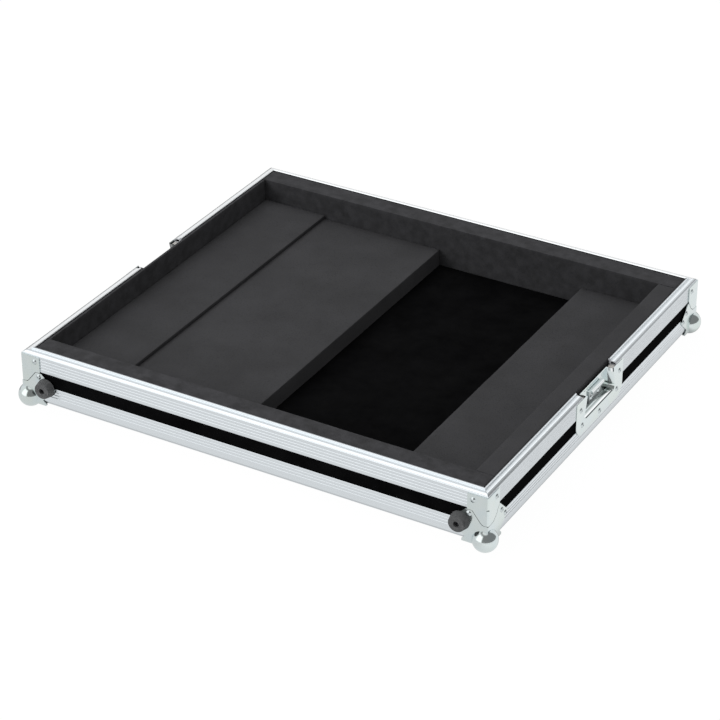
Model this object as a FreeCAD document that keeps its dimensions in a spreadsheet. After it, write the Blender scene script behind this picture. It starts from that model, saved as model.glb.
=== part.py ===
import FreeCAD, Part
import math
import os
from types import SimpleNamespace

import Sketcher

# Base tray of a lift-off-lid flight case, in millimetres.
# X runs along the long side, Y from front to back, Z up.
# The origin is under the middle of the tray, in the plane the four ball corners rest on.
# Every side part is drawn in its own side frame: X along the side, -Y outward, and Y = 0 on
# the inner face of the rim. Every corner part is drawn with the outer corner at its origin.

document = FreeCAD.newDocument("FlightCaseTray")
sheet = document.addObject("Spreadsheet::Sheet", "Dimensions")

# Sizes that drive the case
SIZES = {
    # the tray as a whole
    "inner_width": 547.0,
    "inner_depth": 492.0,
    "tray_height": 62.3,
    "wall_build": 10.3,
    "contact_gap": 0.1,
    # plywood panels
    "panel_thickness": 7.0,
    "panel_inner_offset": 2.1,
    # aluminium walls of the profiles
    "metal_wall": 1.1,
    # rim profile, drops are measured from its top
    "rim_face_height": 23.2,
    "tongue_bevel": 0.6,
    "tongue_width": 2.8,
    "tongue_step_drop": 1.5,
    "tongue_root_drop": 1.9,
    "tongue_root_reach": 3.2,
    "shoulder_reach": 6.9,
    "shoulder_drop": 2.1,
    "shoulder_end_reach": 9.2,
    "shoulder_end_drop": 3.2,
    "shoulder_radius": 1.5,
    "shoulder_foot_drop": 4.5,
    "rim_slot_drop": 6.6,
    "rim_leg_inset": 0.5,
    "rim_leg_drop": 19.0,
    "tongue_foot_drop": 3.0,
    "rim_hollow_near": 3.4,
    "rim_hollow_far": 8.9,
    "rim_hollow_top_drop": 3.3,
    "rim_hollow_far_drop": 4.4,
    "rim_hollow_low_drop": 5.5,
    "rib_depth": 0.3,
    "rib_half_width": 0.45,
    "rib_first_drop": 7.6,
    "rib_pitch": 3.6,
    # bottom edge profile, heights are measured from its underside
    "edge_leg": 23.2,
    "edge_round": 5.0,
    "edge_inner_leg": 8.0,
    "edge_rib_first": 19.4,
    "profile_end_chamfer": 0.4,
    # ball corners
    "ball_radius": 13.65,
    "ball_inset": 4.5,
    "ball_shell": 1.2,
    "corner_plate": 1.1,
    "corner_edge_reach": 28.5,
    "corner_edge_step": 1.5,
    "corner_waist": 5.0,
    "corner_waist_reach": 25.0,
    "ear_far": 42.0,
    "ear_near": 21.0,
    "ear_round": 3.0,
    "ear_hole_far": 36.4,
    "ear_hole_near": 20.4,
    "ear_hole_middle": 28.4,
    "ear_hole_top_reach": 21.0,
    "ear_hole_top_height": 33.5,
    "brace_notch_gap": 0.4,
    # corner braces
    "brace_plate": 1.1,
    "brace_reach": 23.0,
    "brace_top_drop": 4.8,
    "brace_leg_foot": 38.5,
    "brace_tip_foot": 24.2,
    "brace_tip_reach": 4.8,
    "brace_edge_round": 2.0,
    "brace_long_start": 17.0,
    "brace_long_low": 7.0,
    "brace_long_low_foot": 25.8,
    "brace_side_start": 22.0,
    "brace_side_bend": 15.8,
    "brace_side_bend_foot": 29.2,
    "brace_side_low": 9.8,
    "brace_side_low_foot": 24.6,
    "brace_rivet_reach": 16.6,
    "brace_rivet_drop": 11.3,
    "brace_dent_reach": 2.7,
    "brace_dent_foot": 42.4,
    "brace_dent_height": 1.4,
    # half dishes of the latches
    "notch_gap": 4.8,
    "dish_flange": 19.5,
    "dish_foot": 15.3,
    "dish_top_drop": 4.7,
    "dish_sheet": 1.0,
    "dish_corner": 13.5,
    "dish_mouth_half_top": 31.6,
    "dish_mouth_half_low": 36.5,
    "dish_mouth_low": 36.6,
    "dish_mouth_foot_half": 32.5,
    "dish_mouth_foot": 30.2,
    "dish_mouth_round": 4.0,
    "dish_bend": 0.9,
    "dish_back_drop": 5.6,
    "dish_cut_gap": 1.0,
    "dish_rivet_upper_inset": 8.5,
    "dish_rivet_upper_drop": 15.0,
    "dish_rivet_lower_inset": 13.5,
    "dish_rivet_lower_height": 26.8,
    "dish_rivet_middle_height": 21.9,
    # strikes that the lid's latches hook under
    "strike_half_width": 14.4,
    "strike_sheet": 1.5,
    "strike_foot": 35.3,
    "strike_top": 52.5,
    "strike_reach": 5.6,
    "strike_lip": 3.4,
    "strike_bend": 1.4,
    "strike_rivet": 9.0,
    "strike_rivet_height": 41.3,
    # rubber feet for standing the case on its front
    "foot_reach": 30.4,
    "foot_height_above": 22.3,
    "foot_base_radius": 11.0,
    "foot_top_radius": 9.3,
    "foot_length": 9.0,
    "foot_edge": 1.0,
    "foot_bore_radius": 3.3,
    "foot_bore_depth": 5.0,
    "foot_hole_radius": 2.0,
    "screw_head_radius": 2.9,
    "screw_head_height": 2.0,
    "screw_shank_radius": 1.7,
    "screw_recess_radius": 1.3,
    "screw_recess_depth": 1.2,
    # rivets
    "rivet_head_radius": 3.25,
    "rivet_head_height": 1.4,
    "rivet_shank_radius": 1.6,
    "rivet_hole_radius": 1.75,
    "rivet_pin_radius": 0.95,
    "rivet_pin_depth": 0.5,
    "edge_rivet_inset": 3.5,
    # foam
    "foam_gap": 0.2,
    "foam_rim_gap": 0.5,
    "foam_top_drop": 0.8,
    "back_foam": 25.6,
    "front_foam": 23.8,
    "right_foam": 22.0,
    "left_lining": 4.0,
    "block_top": 30.2,
    "riser_sheet": 4.8,
    "centre_block_edge": -27.7,
    "riser_edge": -185.0,
    "right_block_edge": 157.0,
}
for row, (name, value) in enumerate(SIZES.items(), start=1):
    sheet.set("A%d" % row, name)
    sheet.set("B%d" % row, repr(value))
    sheet.setAlias("B%d" % row, name)
document.recompute()

# Shares of a side's inner length at which its bottom profile is riveted to the floor
LONG_RIVET_SHARES = (-0.4, -0.2, 0.0, 0.2, 0.4)
SHORT_RIVET_SHARES = (-0.37, -0.13, 0.13, 0.37)
FULL_TURN = 360.0
QUARTER_TURN = 90.0


class Length:
    """A length of the case, held with the expression that binds it to the sheet."""

    def __init__(self, value, text):
        self.value = value
        self.text = text

    def __add__(self, other):
        return Length(self.value + other.value, "(%s + %s)" % (self.text, other.text))

    def __sub__(self, other):
        return Length(self.value - other.value, "(%s - %s)" % (self.text, other.text))

    def __neg__(self):
        return Length(-self.value, "(-%s)" % self.text)

    def share(self, share):
        """Returns this length times a plain share."""
        return Length(self.value * share, "(%s * %r)" % (self.text, share))


def half(length):
    """Returns half of a length."""
    return Length(length.value / 2, "(%s / 2)" % length.text)


def twice(length):
    """Returns double a length."""
    return Length(length.value * 2, "(%s * 2)" % length.text)


ZERO = Length(0.0, "0")
S = SimpleNamespace(**{name: Length(value, "Dimensions.%s" % name) for name, value in SIZES.items()})

# Sizes that follow from the driving ones
S.half_width = half(S.inner_width)
S.half_depth = half(S.inner_depth)
S.tray_bottom = S.ball_radius - S.ball_inset
S.panel_outer = S.panel_inner_offset + S.panel_thickness
S.outer_leg_inner = S.wall_build - S.metal_wall
S.slot_inner = S.panel_inner_offset - S.contact_gap
S.edge_web_inner = S.slot_inner - S.metal_wall
S.floor_bottom = S.metal_wall + S.contact_gap
S.floor_top = S.floor_bottom + S.panel_thickness
S.edge_shelf_low = S.floor_top + S.contact_gap
S.edge_shelf_top = S.edge_shelf_low + S.metal_wall
S.plate_face = S.wall_build + S.contact_gap
S.plate_outside = S.contact_gap + S.corner_plate
S.ear_face = S.wall_build + S.plate_outside
S.brace_outside = S.contact_gap + S.brace_plate
S.dish_face = S.plate_face + S.dish_sheet
S.dish_back = S.panel_inner_offset + S.dish_sheet
S.corner_x = S.half_width + S.wall_build
S.corner_y = S.half_depth + S.wall_build
S.foot_offset = S.corner_x - S.foot_reach
S.brace_rivet_height = S.tray_height - S.brace_rivet_drop
S.dish_top = S.tray_height - S.dish_top_drop
S.dish_half_width = S.dish_mouth_half_low + S.dish_flange
S.notch_half_width = S.dish_mouth_half_low + S.notch_gap
S.dish_cut_half_top = S.dish_mouth_half_top + S.dish_sheet + S.dish_cut_gap
S.dish_cut_half_low = S.dish_mouth_half_low + S.dish_sheet + S.dish_cut_gap
S.dish_cut_foot = S.dish_mouth_foot - S.dish_sheet - S.dish_cut_gap
S.dish_rivet_upper = S.dish_half_width - S.dish_rivet_upper_inset
S.dish_rivet_upper_height = S.tray_height - S.dish_rivet_upper_drop
S.dish_rivet_lower = S.dish_half_width - S.dish_rivet_lower_inset


class Path:
    """A closed outline of named corner points, with arcs where a radius is given."""

    def __init__(self, points, arcs=None):
        self.points = points
        self.arcs = arcs or {}


def arc_between(start, end, radius, left):
    """Returns an arc, drawn anticlockwise, that bulges to the left or right of start to end."""
    chord = end - start
    across = FreeCAD.Vector(-chord.y, chord.x, 0).normalize()
    rise = math.sqrt(max(radius * radius - chord.Length * chord.Length / 4, 0.0))
    centre = start + chord * 0.5 + across * (-rise if left else rise)
    first, last = (end, start) if left else (start, end)
    first_angle = math.atan2(first.y - centre.y, first.x - centre.x)
    last_angle = math.atan2(last.y - centre.y, last.x - centre.x)
    circle = Part.Circle(centre, FreeCAD.Vector(0, 0, 1), radius)
    return Part.ArcOfCircle(circle, first_angle, last_angle)


def bind(sketch, index, label, length):
    """Names a constraint and binds it to its length."""
    sketch.renameConstraint(index, label)
    sketch.setExpression("Constraints.%s" % label, length.text)


def fix_point(sketch, element, position, x, y, label):
    """Holds a point of the sketch at two bound distances from the origin."""
    for axis, length, kind in ((-2, x, "DistanceX"), (-1, y, "DistanceY")):
        if length.text == ZERO.text:
            sketch.addConstraint(Sketcher.Constraint("PointOnObject", element, position, axis))
            continue
        index = sketch.addConstraint(Sketcher.Constraint(kind, -1, 1, element, position, length.value))
        bind(sketch, index, "%s_%s" % (label, kind[-1].lower()), length)


def draw_path(sketch, path, label):
    """Draws one closed outline and constrains every corner of it."""
    corners = [FreeCAD.Vector(x.value, y.value, 0) for x, y in path.points]
    count = len(corners)
    ends = []
    for i, start in enumerate(corners):
        end = corners[(i + 1) % count]
        if i in path.arcs:
            radius, left = path.arcs[i]
            element = sketch.addGeometry(arc_between(start, end, radius.value, left), False)
            ends.append((element, 2, 1) if left else (element, 1, 2))
            index = sketch.addConstraint(Sketcher.Constraint("Radius", element, radius.value))
            bind(sketch, index, "%s_radius_%d" % (label, i), radius)
        else:
            element = sketch.addGeometry(Part.LineSegment(start, end), False)
            ends.append((element, 1, 2))
    for i in range(count):
        element, first, last = ends[i]
        following, next_first, _ = ends[(i + 1) % count]
        sketch.addConstraint(Sketcher.Constraint("Coincident", element, last, following, next_first))
        x, y = path.points[i]
        fix_point(sketch, element, first, x, y, "%s_%d" % (label, i))


def new_body(name):
    """Makes the body of one piece, labelled with the name of its node."""
    body = document.addObject("PartDesign::Body", name)
    body.Label = name
    return body


def plane_of(body, role):
    """Finds one of the body's own origin planes."""
    return next(feature for feature in body.Origin.OriginFeatures if feature.Role == role)


def new_sketch(body, name, role, paths=(), circles=(), offset=None):
    """Draws outlines and circles on an origin plane of the body, or on one parallel to it."""
    sketch = body.newObject("Sketcher::SketchObject", name)
    sketch.AttachmentSupport = (plane_of(body, role), [""])
    sketch.MapMode = "FlatFace"
    if offset is not None:
        sketch.setExpression(".AttachmentOffset.Base.z", offset.text)
    for i, path in enumerate(paths):
        draw_path(sketch, path, "outline%d" % i)
    for i, (x, y, radius) in enumerate(circles):
        centre = FreeCAD.Vector(x.value, y.value, 0)
        circle = Part.Circle(centre, FreeCAD.Vector(0, 0, 1), radius.value)
        element = sketch.addGeometry(circle, False)
        index = sketch.addConstraint(Sketcher.Constraint("Radius", element, radius.value))
        bind(sketch, index, "hole%d_radius" % i, radius)
        fix_point(sketch, element, 3, x, y, "hole%d" % i)
    document.recompute()
    return sketch


def pad(body, name, sketch, length, symmetric=False, reverse=False):
    """Pads a sketch by a bound length."""
    feature = body.newObject("PartDesign::Pad", name)
    feature.Profile = sketch
    feature.SideType = "Symmetric" if symmetric else "One side"
    feature.Reversed = reverse
    feature.setExpression("Length", length.text)
    sketch.Visibility = False
    body.Tip = feature
    document.recompute()
    return feature


def cut_through(body, name, sketch):
    """Cuts a sketch through all of the body, both ways."""
    before = body.Shape.Volume
    feature = body.newObject("PartDesign::Pocket", name)
    feature.Profile = sketch
    feature.SideType = "Symmetric"
    feature.Type = "ThroughAll"
    sketch.Visibility = False
    body.Tip = feature
    document.recompute()
    if not body.Shape.Volume < before:
        raise ValueError("%s of %s removes nothing" % (name, body.Label))
    return feature


def cut_depth(body, name, sketch, length, reverse=False):
    """Cuts a sketch to a bound depth."""
    before = body.Shape.Volume
    feature = body.newObject("PartDesign::Pocket", name)
    feature.Profile = sketch
    feature.Reversed = reverse
    feature.setExpression("Length", length.text)
    sketch.Visibility = False
    body.Tip = feature
    document.recompute()
    if not body.Shape.Volume < before:
        raise ValueError("%s of %s removes nothing" % (name, body.Label))
    return feature


def revolve(body, name, sketch, role):
    """Turns a sketch a full turn about an origin axis of the body."""
    feature = body.newObject("PartDesign::Revolution", name)
    feature.Profile = sketch
    feature.ReferenceAxis = (plane_of(body, role), [""])
    feature.Angle = FULL_TURN
    sketch.Visibility = False
    body.Tip = feature
    document.recompute()
    return feature


def round_edges(body, name, radius, chosen):
    """Rounds the edges of the body that the given test picks."""
    base = body.Tip
    names = ["Edge%d" % (i + 1) for i, edge in enumerate(base.Shape.Edges) if chosen(edge)]
    if not names:
        raise ValueError("%s of %s finds no edge" % (name, body.Label))
    feature = body.newObject("PartDesign::Fillet", name)
    feature.Base = (base, names)
    feature.setExpression("Radius", radius.text)
    body.Tip = feature
    document.recompute()
    return feature


def place(body, x, y, z, turn=0.0):
    """Places a body, its position bound to the sheet and its turn about Z in degrees."""
    body.Placement = FreeCAD.Placement(
        FreeCAD.Vector(x.value, y.value, z.value),
        FreeCAD.Rotation(FreeCAD.Vector(0, 0, 1), turn))
    body.setExpression(".Placement.Base.x", x.text)
    body.setExpression(".Placement.Base.y", y.text)
    body.setExpression(".Placement.Base.z", z.text)


# Where the four sides stand: position of the side frame and its turn about Z
SIDES = {
    "front": (ZERO, -S.half_depth, 0.0, S.half_width),
    "right": (S.half_width, ZERO, QUARTER_TURN, S.half_depth),
    "back": (ZERO, S.half_depth, 2 * QUARTER_TURN, S.half_width),
    "left": (-S.half_width, ZERO, 3 * QUARTER_TURN, S.half_depth),
}
# Where the four corners stand, their turn about Z, and whether the long side lies along X
CORNERS = {
    "front_left": (-S.corner_x, -S.corner_y, 0.0, True),
    "front_right": (S.corner_x, -S.corner_y, QUARTER_TURN, False),
    "back_right": (S.corner_x, S.corner_y, 2 * QUARTER_TURN, True),
    "back_left": (-S.corner_x, S.corner_y, 3 * QUARTER_TURN, False),
}


def place_on_side(body, side):
    """Stands a body drawn in the side frame on its side of the tray."""
    x, y, turn, _ = SIDES[side]
    place(body, x, y, S.tray_bottom, turn)


def place_on_corner(body, corner):
    """Stands a body drawn in the corner frame on its corner of the tray."""
    x, y, turn, _ = CORNERS[corner]
    place(body, x, y, S.tray_bottom, turn)


def rim_drop(drop):
    """Turns a drop from the rim's top into a height above the tray's underside."""
    return S.tray_height - drop


def ribs(outward, first, count, step):
    """Returns the corner points of shallow V grooves down an outer face, top one first."""
    points = []
    height = first
    for _ in range(count):
        points.append((-outward, height + S.rib_half_width))
        points.append((-(outward - S.rib_depth), height))
        points.append((-outward, height - S.rib_half_width))
        height = height - step
    return points


def rim_section():
    """Section of the rim profile: a raised tongue, a sloping shoulder and a slot for the panel."""
    outer = [
        (-S.rim_leg_inset, rim_drop(S.rim_leg_drop)),
        (-S.rim_leg_inset, rim_drop(S.tongue_foot_drop)),
        (ZERO, rim_drop(S.tongue_foot_drop)),
        (ZERO, rim_drop(S.tongue_bevel)),
        (-S.tongue_bevel, S.tray_height),
        (-(S.tongue_width - S.tongue_bevel), S.tray_height),
        (-S.tongue_width, rim_drop(S.tongue_bevel)),
        (-S.tongue_width, rim_drop(S.tongue_step_drop)),
        (-S.tongue_root_reach, rim_drop(S.tongue_root_drop)),
        (-S.shoulder_reach, rim_drop(S.shoulder_drop)),
        (-S.shoulder_end_reach, rim_drop(S.shoulder_end_drop)),
        (-S.wall_build, rim_drop(S.shoulder_foot_drop)),
    ]
    arcs = {len(outer) - 2: (S.shoulder_radius, False)}
    outer += ribs(S.wall_build, rim_drop(S.rib_first_drop), 4, S.rib_pitch)
    outer += [
        (-S.wall_build, rim_drop(S.rim_face_height - S.profile_end_chamfer)),
        (-(S.wall_build - S.profile_end_chamfer), rim_drop(S.rim_face_height)),
        (-S.outer_leg_inner, rim_drop(S.rim_face_height)),
        (-S.outer_leg_inner, rim_drop(S.rim_slot_drop)),
        (-S.slot_inner, rim_drop(S.rim_slot_drop)),
        (-S.slot_inner, rim_drop(S.rim_leg_drop)),
    ]
    hollow = [
        (-S.rim_hollow_near, rim_drop(S.rim_hollow_top_drop)),
        (-S.shoulder_reach, rim_drop(S.rim_hollow_top_drop)),
        (-S.rim_hollow_far, rim_drop(S.rim_hollow_far_drop)),
        (-S.rim_hollow_far, rim_drop(S.rim_hollow_low_drop)),
        (-S.rim_hollow_near, rim_drop(S.rim_hollow_low_drop)),
    ]
    return [Path(outer, arcs), Path(hollow)]


def edge_section():
    """Section of the bottom edge profile: an angle with slots for a wall panel and the floor."""
    tip = S.edge_leg - S.wall_build
    inner_tip = S.edge_inner_leg - S.edge_web_inner
    outer = [
        (tip, ZERO),
        (-(S.wall_build - S.edge_round), ZERO),
        (-S.wall_build, S.edge_round),
    ]
    arcs = {1: (S.edge_round, True)}
    upward = ribs(S.wall_build, S.edge_rib_first, 3, S.rib_pitch)
    outer += upward[::-1]
    outer += [
        (-S.wall_build, S.edge_leg - S.profile_end_chamfer),
        (-(S.wall_build - S.profile_end_chamfer), S.edge_leg),
        (-S.outer_leg_inner, S.edge_leg),
        (-S.outer_leg_inner, S.edge_shelf_top),
        (-S.slot_inner, S.edge_shelf_top),
        (-S.slot_inner, S.edge_shelf_top + S.edge_inner_leg),
        (-S.edge_web_inner, S.edge_shelf_top + S.edge_inner_leg),
        (-S.edge_web_inner, S.edge_shelf_top),
        (inner_tip, S.edge_shelf_top),
        (inner_tip, S.edge_shelf_low),
        (-S.edge_web_inner, S.edge_shelf_low),
        (-S.edge_web_inner, S.metal_wall),
        (tip, S.metal_wall),
    ]
    inner_round = S.edge_round - S.metal_wall
    hollow = [
        (-S.slot_inner, S.metal_wall),
        (-(S.wall_build - S.edge_round), S.metal_wall),
        (-S.outer_leg_inner, S.edge_round),
        (-S.outer_leg_inner, S.edge_shelf_low),
        (-S.slot_inner, S.edge_shelf_low),
    ]
    return [Path(outer, arcs), Path(hollow, {1: (inner_round, True)})]


def mitre(half_length, sign):
    """Outline in plan of what a 45 degree mitre takes off one end of a side profile."""
    far = S.edge_leg
    near = S.contact_gap
    out = S.wall_build + S.wall_build
    points = [
        (half_length - far - near, far),
        (half_length + out - near, -out),
        (half_length + out, far),
    ]
    if sign < 0:
        points = [(-x, y) for x, y in points]
    return Path(points)


def side_profile(name, side, section, start, end):
    """Runs a section along a side, from start to end, and mitres the ends at the corners."""
    half_length = SIDES[side][3]
    body = new_body(name)
    outline = new_sketch(body, "%s_section" % name, "YZ_Plane", section)
    if start is None and end is None:
        pad(body, "%s_run" % name, outline, twice(half_length + S.wall_build), symmetric=True)
        ends = [mitre(half_length, 1), mitre(half_length, -1)]
    elif start is None:
        outline.setExpression(".AttachmentOffset.Base.z", (-half_length - S.wall_build).text)
        pad(body, "%s_run" % name, outline, end + half_length + S.wall_build)
        ends = [mitre(half_length, -1)]
    else:
        outline.setExpression(".AttachmentOffset.Base.z", start.text)
        pad(body, "%s_run" % name, outline, half_length + S.wall_build - start)
        ends = [mitre(half_length, 1)]
    plan = new_sketch(body, "%s_mitres" % name, "XY_Plane", ends)
    cut_through(body, "%s_mitre" % name, plan)
    place_on_side(body, side)
    return body


def drill(body, name, role, spots):
    """Drills rivet or screw holes through a body, square to one of its planes."""
    cut_through(body, name, new_sketch(body, "%s_centres" % name, role, circles=spots))


def rectangle(x0, y0, x1, y1):
    """Returns a rectangle between two opposite corners."""
    return Path([(x0, y0), (x1, y0), (x1, y1), (x0, y1)])


def wall_spots(side):
    """Holes through a side wall: for the ball corners, braces, dish and feet, by what they pass."""
    half_length = SIDES[side][3] + S.wall_build
    hole = S.rivet_hole_radius
    brace = [(half_length - S.brace_rivet_reach, S.brace_rivet_height, hole)]
    low_ear = (half_length - S.ear_hole_far, S.ear_hole_near, hole)
    top_ear = (half_length - S.ear_hole_top_reach, S.ear_hole_top_height, hole)
    if side in ("left", "right"):
        ears = [low_ear, (half_length - S.ear_hole_middle, S.ear_hole_middle, hole)]
        upper = [(S.dish_rivet_upper, S.dish_rivet_upper_height, hole)]
        lower = [(S.dish_rivet_lower, S.dish_rivet_lower_height, hole)]
        middle = [(ZERO, S.dish_rivet_middle_height, hole)]
    else:
        # on the front a rubber foot covers the lower hole, and its screw does the holding
        ears = [top_ear] if side == "front" else [top_ear, low_ear]
        upper, lower, middle = [], [], []
    feet = [(S.foot_offset, S.foot_height_above, S.foot_hole_radius)] if side == "front" else []

    def both(spots):
        return spots + [(-x, y, radius) for x, y, radius in spots]

    low_ears = [spot for spot in ears if spot[1].value < S.edge_leg.value]
    return SimpleNamespace(
        rim=both(brace + upper),
        panel=both(brace + ears + upper + lower + feet) + middle,
        edge=both(low_ears + feet) + middle,
        brace=both(brace), ears=both(ears), upper=both(upper), lower=both(lower), middle=middle)


def edge_rivet_spots(side):
    """Plan positions, in the side frame, of the rivets through a bottom profile."""
    half_length = SIDES[side][3]
    shares = LONG_RIVET_SHARES if side in ("front", "back") else SHORT_RIVET_SHARES
    return [(twice(half_length).share(share), S.edge_rivet_inset, S.rivet_hole_radius)
            for share in shares]


# The floor
floor = new_body("floor_panel")
reach = S.edge_web_inner - S.contact_gap
floor_outline = rectangle(-(S.half_width + reach), -(S.half_depth + reach),
                          S.half_width + reach, S.half_depth + reach)
pad(floor, "floor_board", new_sketch(floor, "floor_outline", "XY_Plane", [floor_outline],
                                     offset=S.floor_bottom), S.panel_thickness)
floor_holes = []
for side, (side_x, side_y, turn, _) in SIDES.items():
    for x, y, radius in edge_rivet_spots(side):
        if side == "front":
            floor_holes.append((x, side_y + y, radius))
        elif side == "back":
            floor_holes.append((-x, side_y - y, radius))
        elif side == "right":
            floor_holes.append((side_x - y, x, radius))
        else:
            floor_holes.append((side_x + y, -x, radius))
for sign_x in (1, -1):
    for sign_y in (1, -1):
        for along, across in ((S.ear_hole_far, S.ear_hole_near), (S.ear_hole_near, S.ear_hole_far)):
            x = S.corner_x - along
            y = S.corner_y - across
            floor_holes.append((x if sign_x > 0 else -x, y if sign_y > 0 else -y, S.rivet_hole_radius))
drill(floor, "floor_holes", "XY_Plane", floor_holes)
place(floor, ZERO, ZERO, S.tray_bottom)

# The walls, with the latch cut-outs in the two short ones
panel_foot = S.edge_shelf_top + S.contact_gap
panel_top = rim_drop(S.rim_slot_drop + S.contact_gap)
for side in SIDES:
    half_length = SIDES[side][3]
    name = "%s_wall_panel" % side
    body = new_body(name)
    if side in ("front", "back"):
        panel_half = half_length + S.panel_outer
    else:
        panel_half = half_length + S.panel_inner_offset - S.contact_gap
    face = rectangle(-panel_half, panel_foot, panel_half, panel_top)
    board = pad(body, "%s_board" % name,
                new_sketch(body, "%s_face" % name, "XZ_Plane", [face], offset=S.panel_inner_offset),
                S.panel_thickness)
    if side in ("left", "right"):
        over = panel_top + S.panel_thickness
        cut_out = Path([(-S.dish_cut_half_top, over), (-S.dish_cut_half_low, S.dish_mouth_low),
                        (-S.dish_cut_half_low, S.dish_cut_foot), (S.dish_cut_half_low, S.dish_cut_foot),
                        (S.dish_cut_half_low, S.dish_mouth_low), (S.dish_cut_half_top, over)])
        cut_through(body, "%s_cut" % name, new_sketch(body, "%s_cut_out" % name, "XZ_Plane", [cut_out]))
    drill(body, "%s_holes" % name, "XZ_Plane", wall_spots(side).panel)
    place_on_side(body, side)

# The rim: one length on each long side, two on each short side, either side of its latch
RIM_LENGTHS = (
    ("front_rim", "front", None, None),
    ("back_rim", "back", None, None),
    ("right_rim_back_length", "right", S.notch_half_width, None),
    ("right_rim_front_length", "right", None, -S.notch_half_width),
    ("left_rim_front_length", "left", S.notch_half_width, None),
    ("left_rim_back_length", "left", None, -S.notch_half_width),
)
for name, side, start, end in RIM_LENGTHS:
    body = side_profile(name, side, rim_section(), start, end)
    spots = wall_spots(side).rim
    if start is not None:
        spots = [spot for spot in spots if spot[0].value > 0]
    if end is not None:
        spots = [spot for spot in spots if spot[0].value < 0]
    drill(body, "%s_holes" % name, "XZ_Plane", spots)

# The bottom profiles
for side in SIDES:
    name = "%s_bottom_edge" % side
    body = side_profile(name, side, edge_section(), None, None)
    drill(body, "%s_wall_holes" % name, "XZ_Plane", wall_spots(side).edge)
    half_length = SIDES[side][3] + S.wall_build
    floor_spots = edge_rivet_spots(side)
    for along, across in ((S.ear_hole_far, S.ear_hole_near), (S.ear_hole_near, S.ear_hole_far)):
        inward = across - S.wall_build
        if inward.value > (S.edge_leg - S.wall_build).value:
            continue
        floor_spots.append((half_length - along, inward, S.rivet_hole_radius))
        floor_spots.append((-(half_length - along), inward, S.rivet_hole_radius))
    drill(body, "%s_floor_holes" % name, "XY_Plane", floor_spots)


def ear_outline():
    """Outline of one face of a ball corner: two short legs along the edges and a diagonal ear."""
    out = -S.plate_outside
    return Path([
        (out, out),
        (S.corner_edge_reach, out),
        (S.corner_edge_reach, S.corner_edge_step),
        (S.corner_waist_reach, S.corner_waist),
        (S.ear_far, S.ear_near),
        (S.ear_near, S.ear_far),
        (S.corner_waist, S.corner_waist_reach),
        (S.corner_edge_step, S.corner_edge_reach),
        (out, S.corner_edge_reach),
    ])


def edge_at(x, y, z, spans):
    """Builds a test for straight edges that run through a point along one axis."""
    tolerance = S.contact_gap.value

    def chosen(edge):
        box = edge.BoundBox
        lengths = {"x": box.XLength, "y": box.YLength, "z": box.ZLength}
        middles = {"x": (box.Center.x, x), "y": (box.Center.y, y), "z": (box.Center.z, z)}
        if lengths[spans] < tolerance:
            return False
        return all(lengths[axis] < tolerance and abs(found - wanted) < tolerance
                   for axis, (found, wanted) in middles.items() if axis != spans)

    return chosen


# Lower edge of a corner brace, from its pointed foot up to the end of its leg: the face on a long
# side of the tray, and the wider face on a short side
BRACE_LONG_EDGE = [(S.brace_tip_reach, S.brace_tip_foot), (S.brace_long_low, S.brace_long_low_foot),
                   (S.brace_long_start, S.brace_leg_foot)]
BRACE_SIDE_EDGE = [(S.brace_tip_reach, S.brace_tip_foot), (S.brace_side_low, S.brace_side_low_foot),
                   (S.brace_side_bend, S.brace_side_bend_foot), (S.brace_side_start, S.brace_leg_foot)]


def brace_cut(edge):
    """Outline of what a corner brace's face lacks below its lower edge."""
    below_foot = S.brace_tip_foot - S.brace_plate
    beyond = S.brace_reach + S.brace_plate
    tip = edge[0]
    return Path([(tip[0], below_foot), (beyond, below_foot), (beyond, edge[-1][1])] + edge[:0:-1] + [tip])


def brace_notch(edge):
    """Outline of the notch in a ball corner that clears the lower edge of the brace above it."""
    gap = S.brace_notch_gap
    above = S.ear_far + S.brace_plate
    beyond = S.ear_far + S.brace_plate
    outside = -twice(S.plate_outside)
    lowered = [(x + gap, y - gap) for x, y in edge]
    return Path([(outside, above), (outside, lowered[0][1])] + lowered
                + [(beyond, lowered[-1][1]), (beyond, above)])


def ball_part(body, kind, name, inset, sizes):
    """Adds or takes away a sphere or box whose middle or first corner is inset on all three axes."""
    feature = body.newObject(kind, name)
    feature.AttachmentSupport = (plane_of(body, "XY_Plane"), [""])
    feature.MapMode = "FlatFace"
    for label, length in sizes.items():
        feature.setExpression(label, length.text)
    for axis in "xyz":
        feature.setExpression(".AttachmentOffset.Base.%s" % axis, inset.text)
    body.Tip = feature
    document.recompute()


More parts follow.
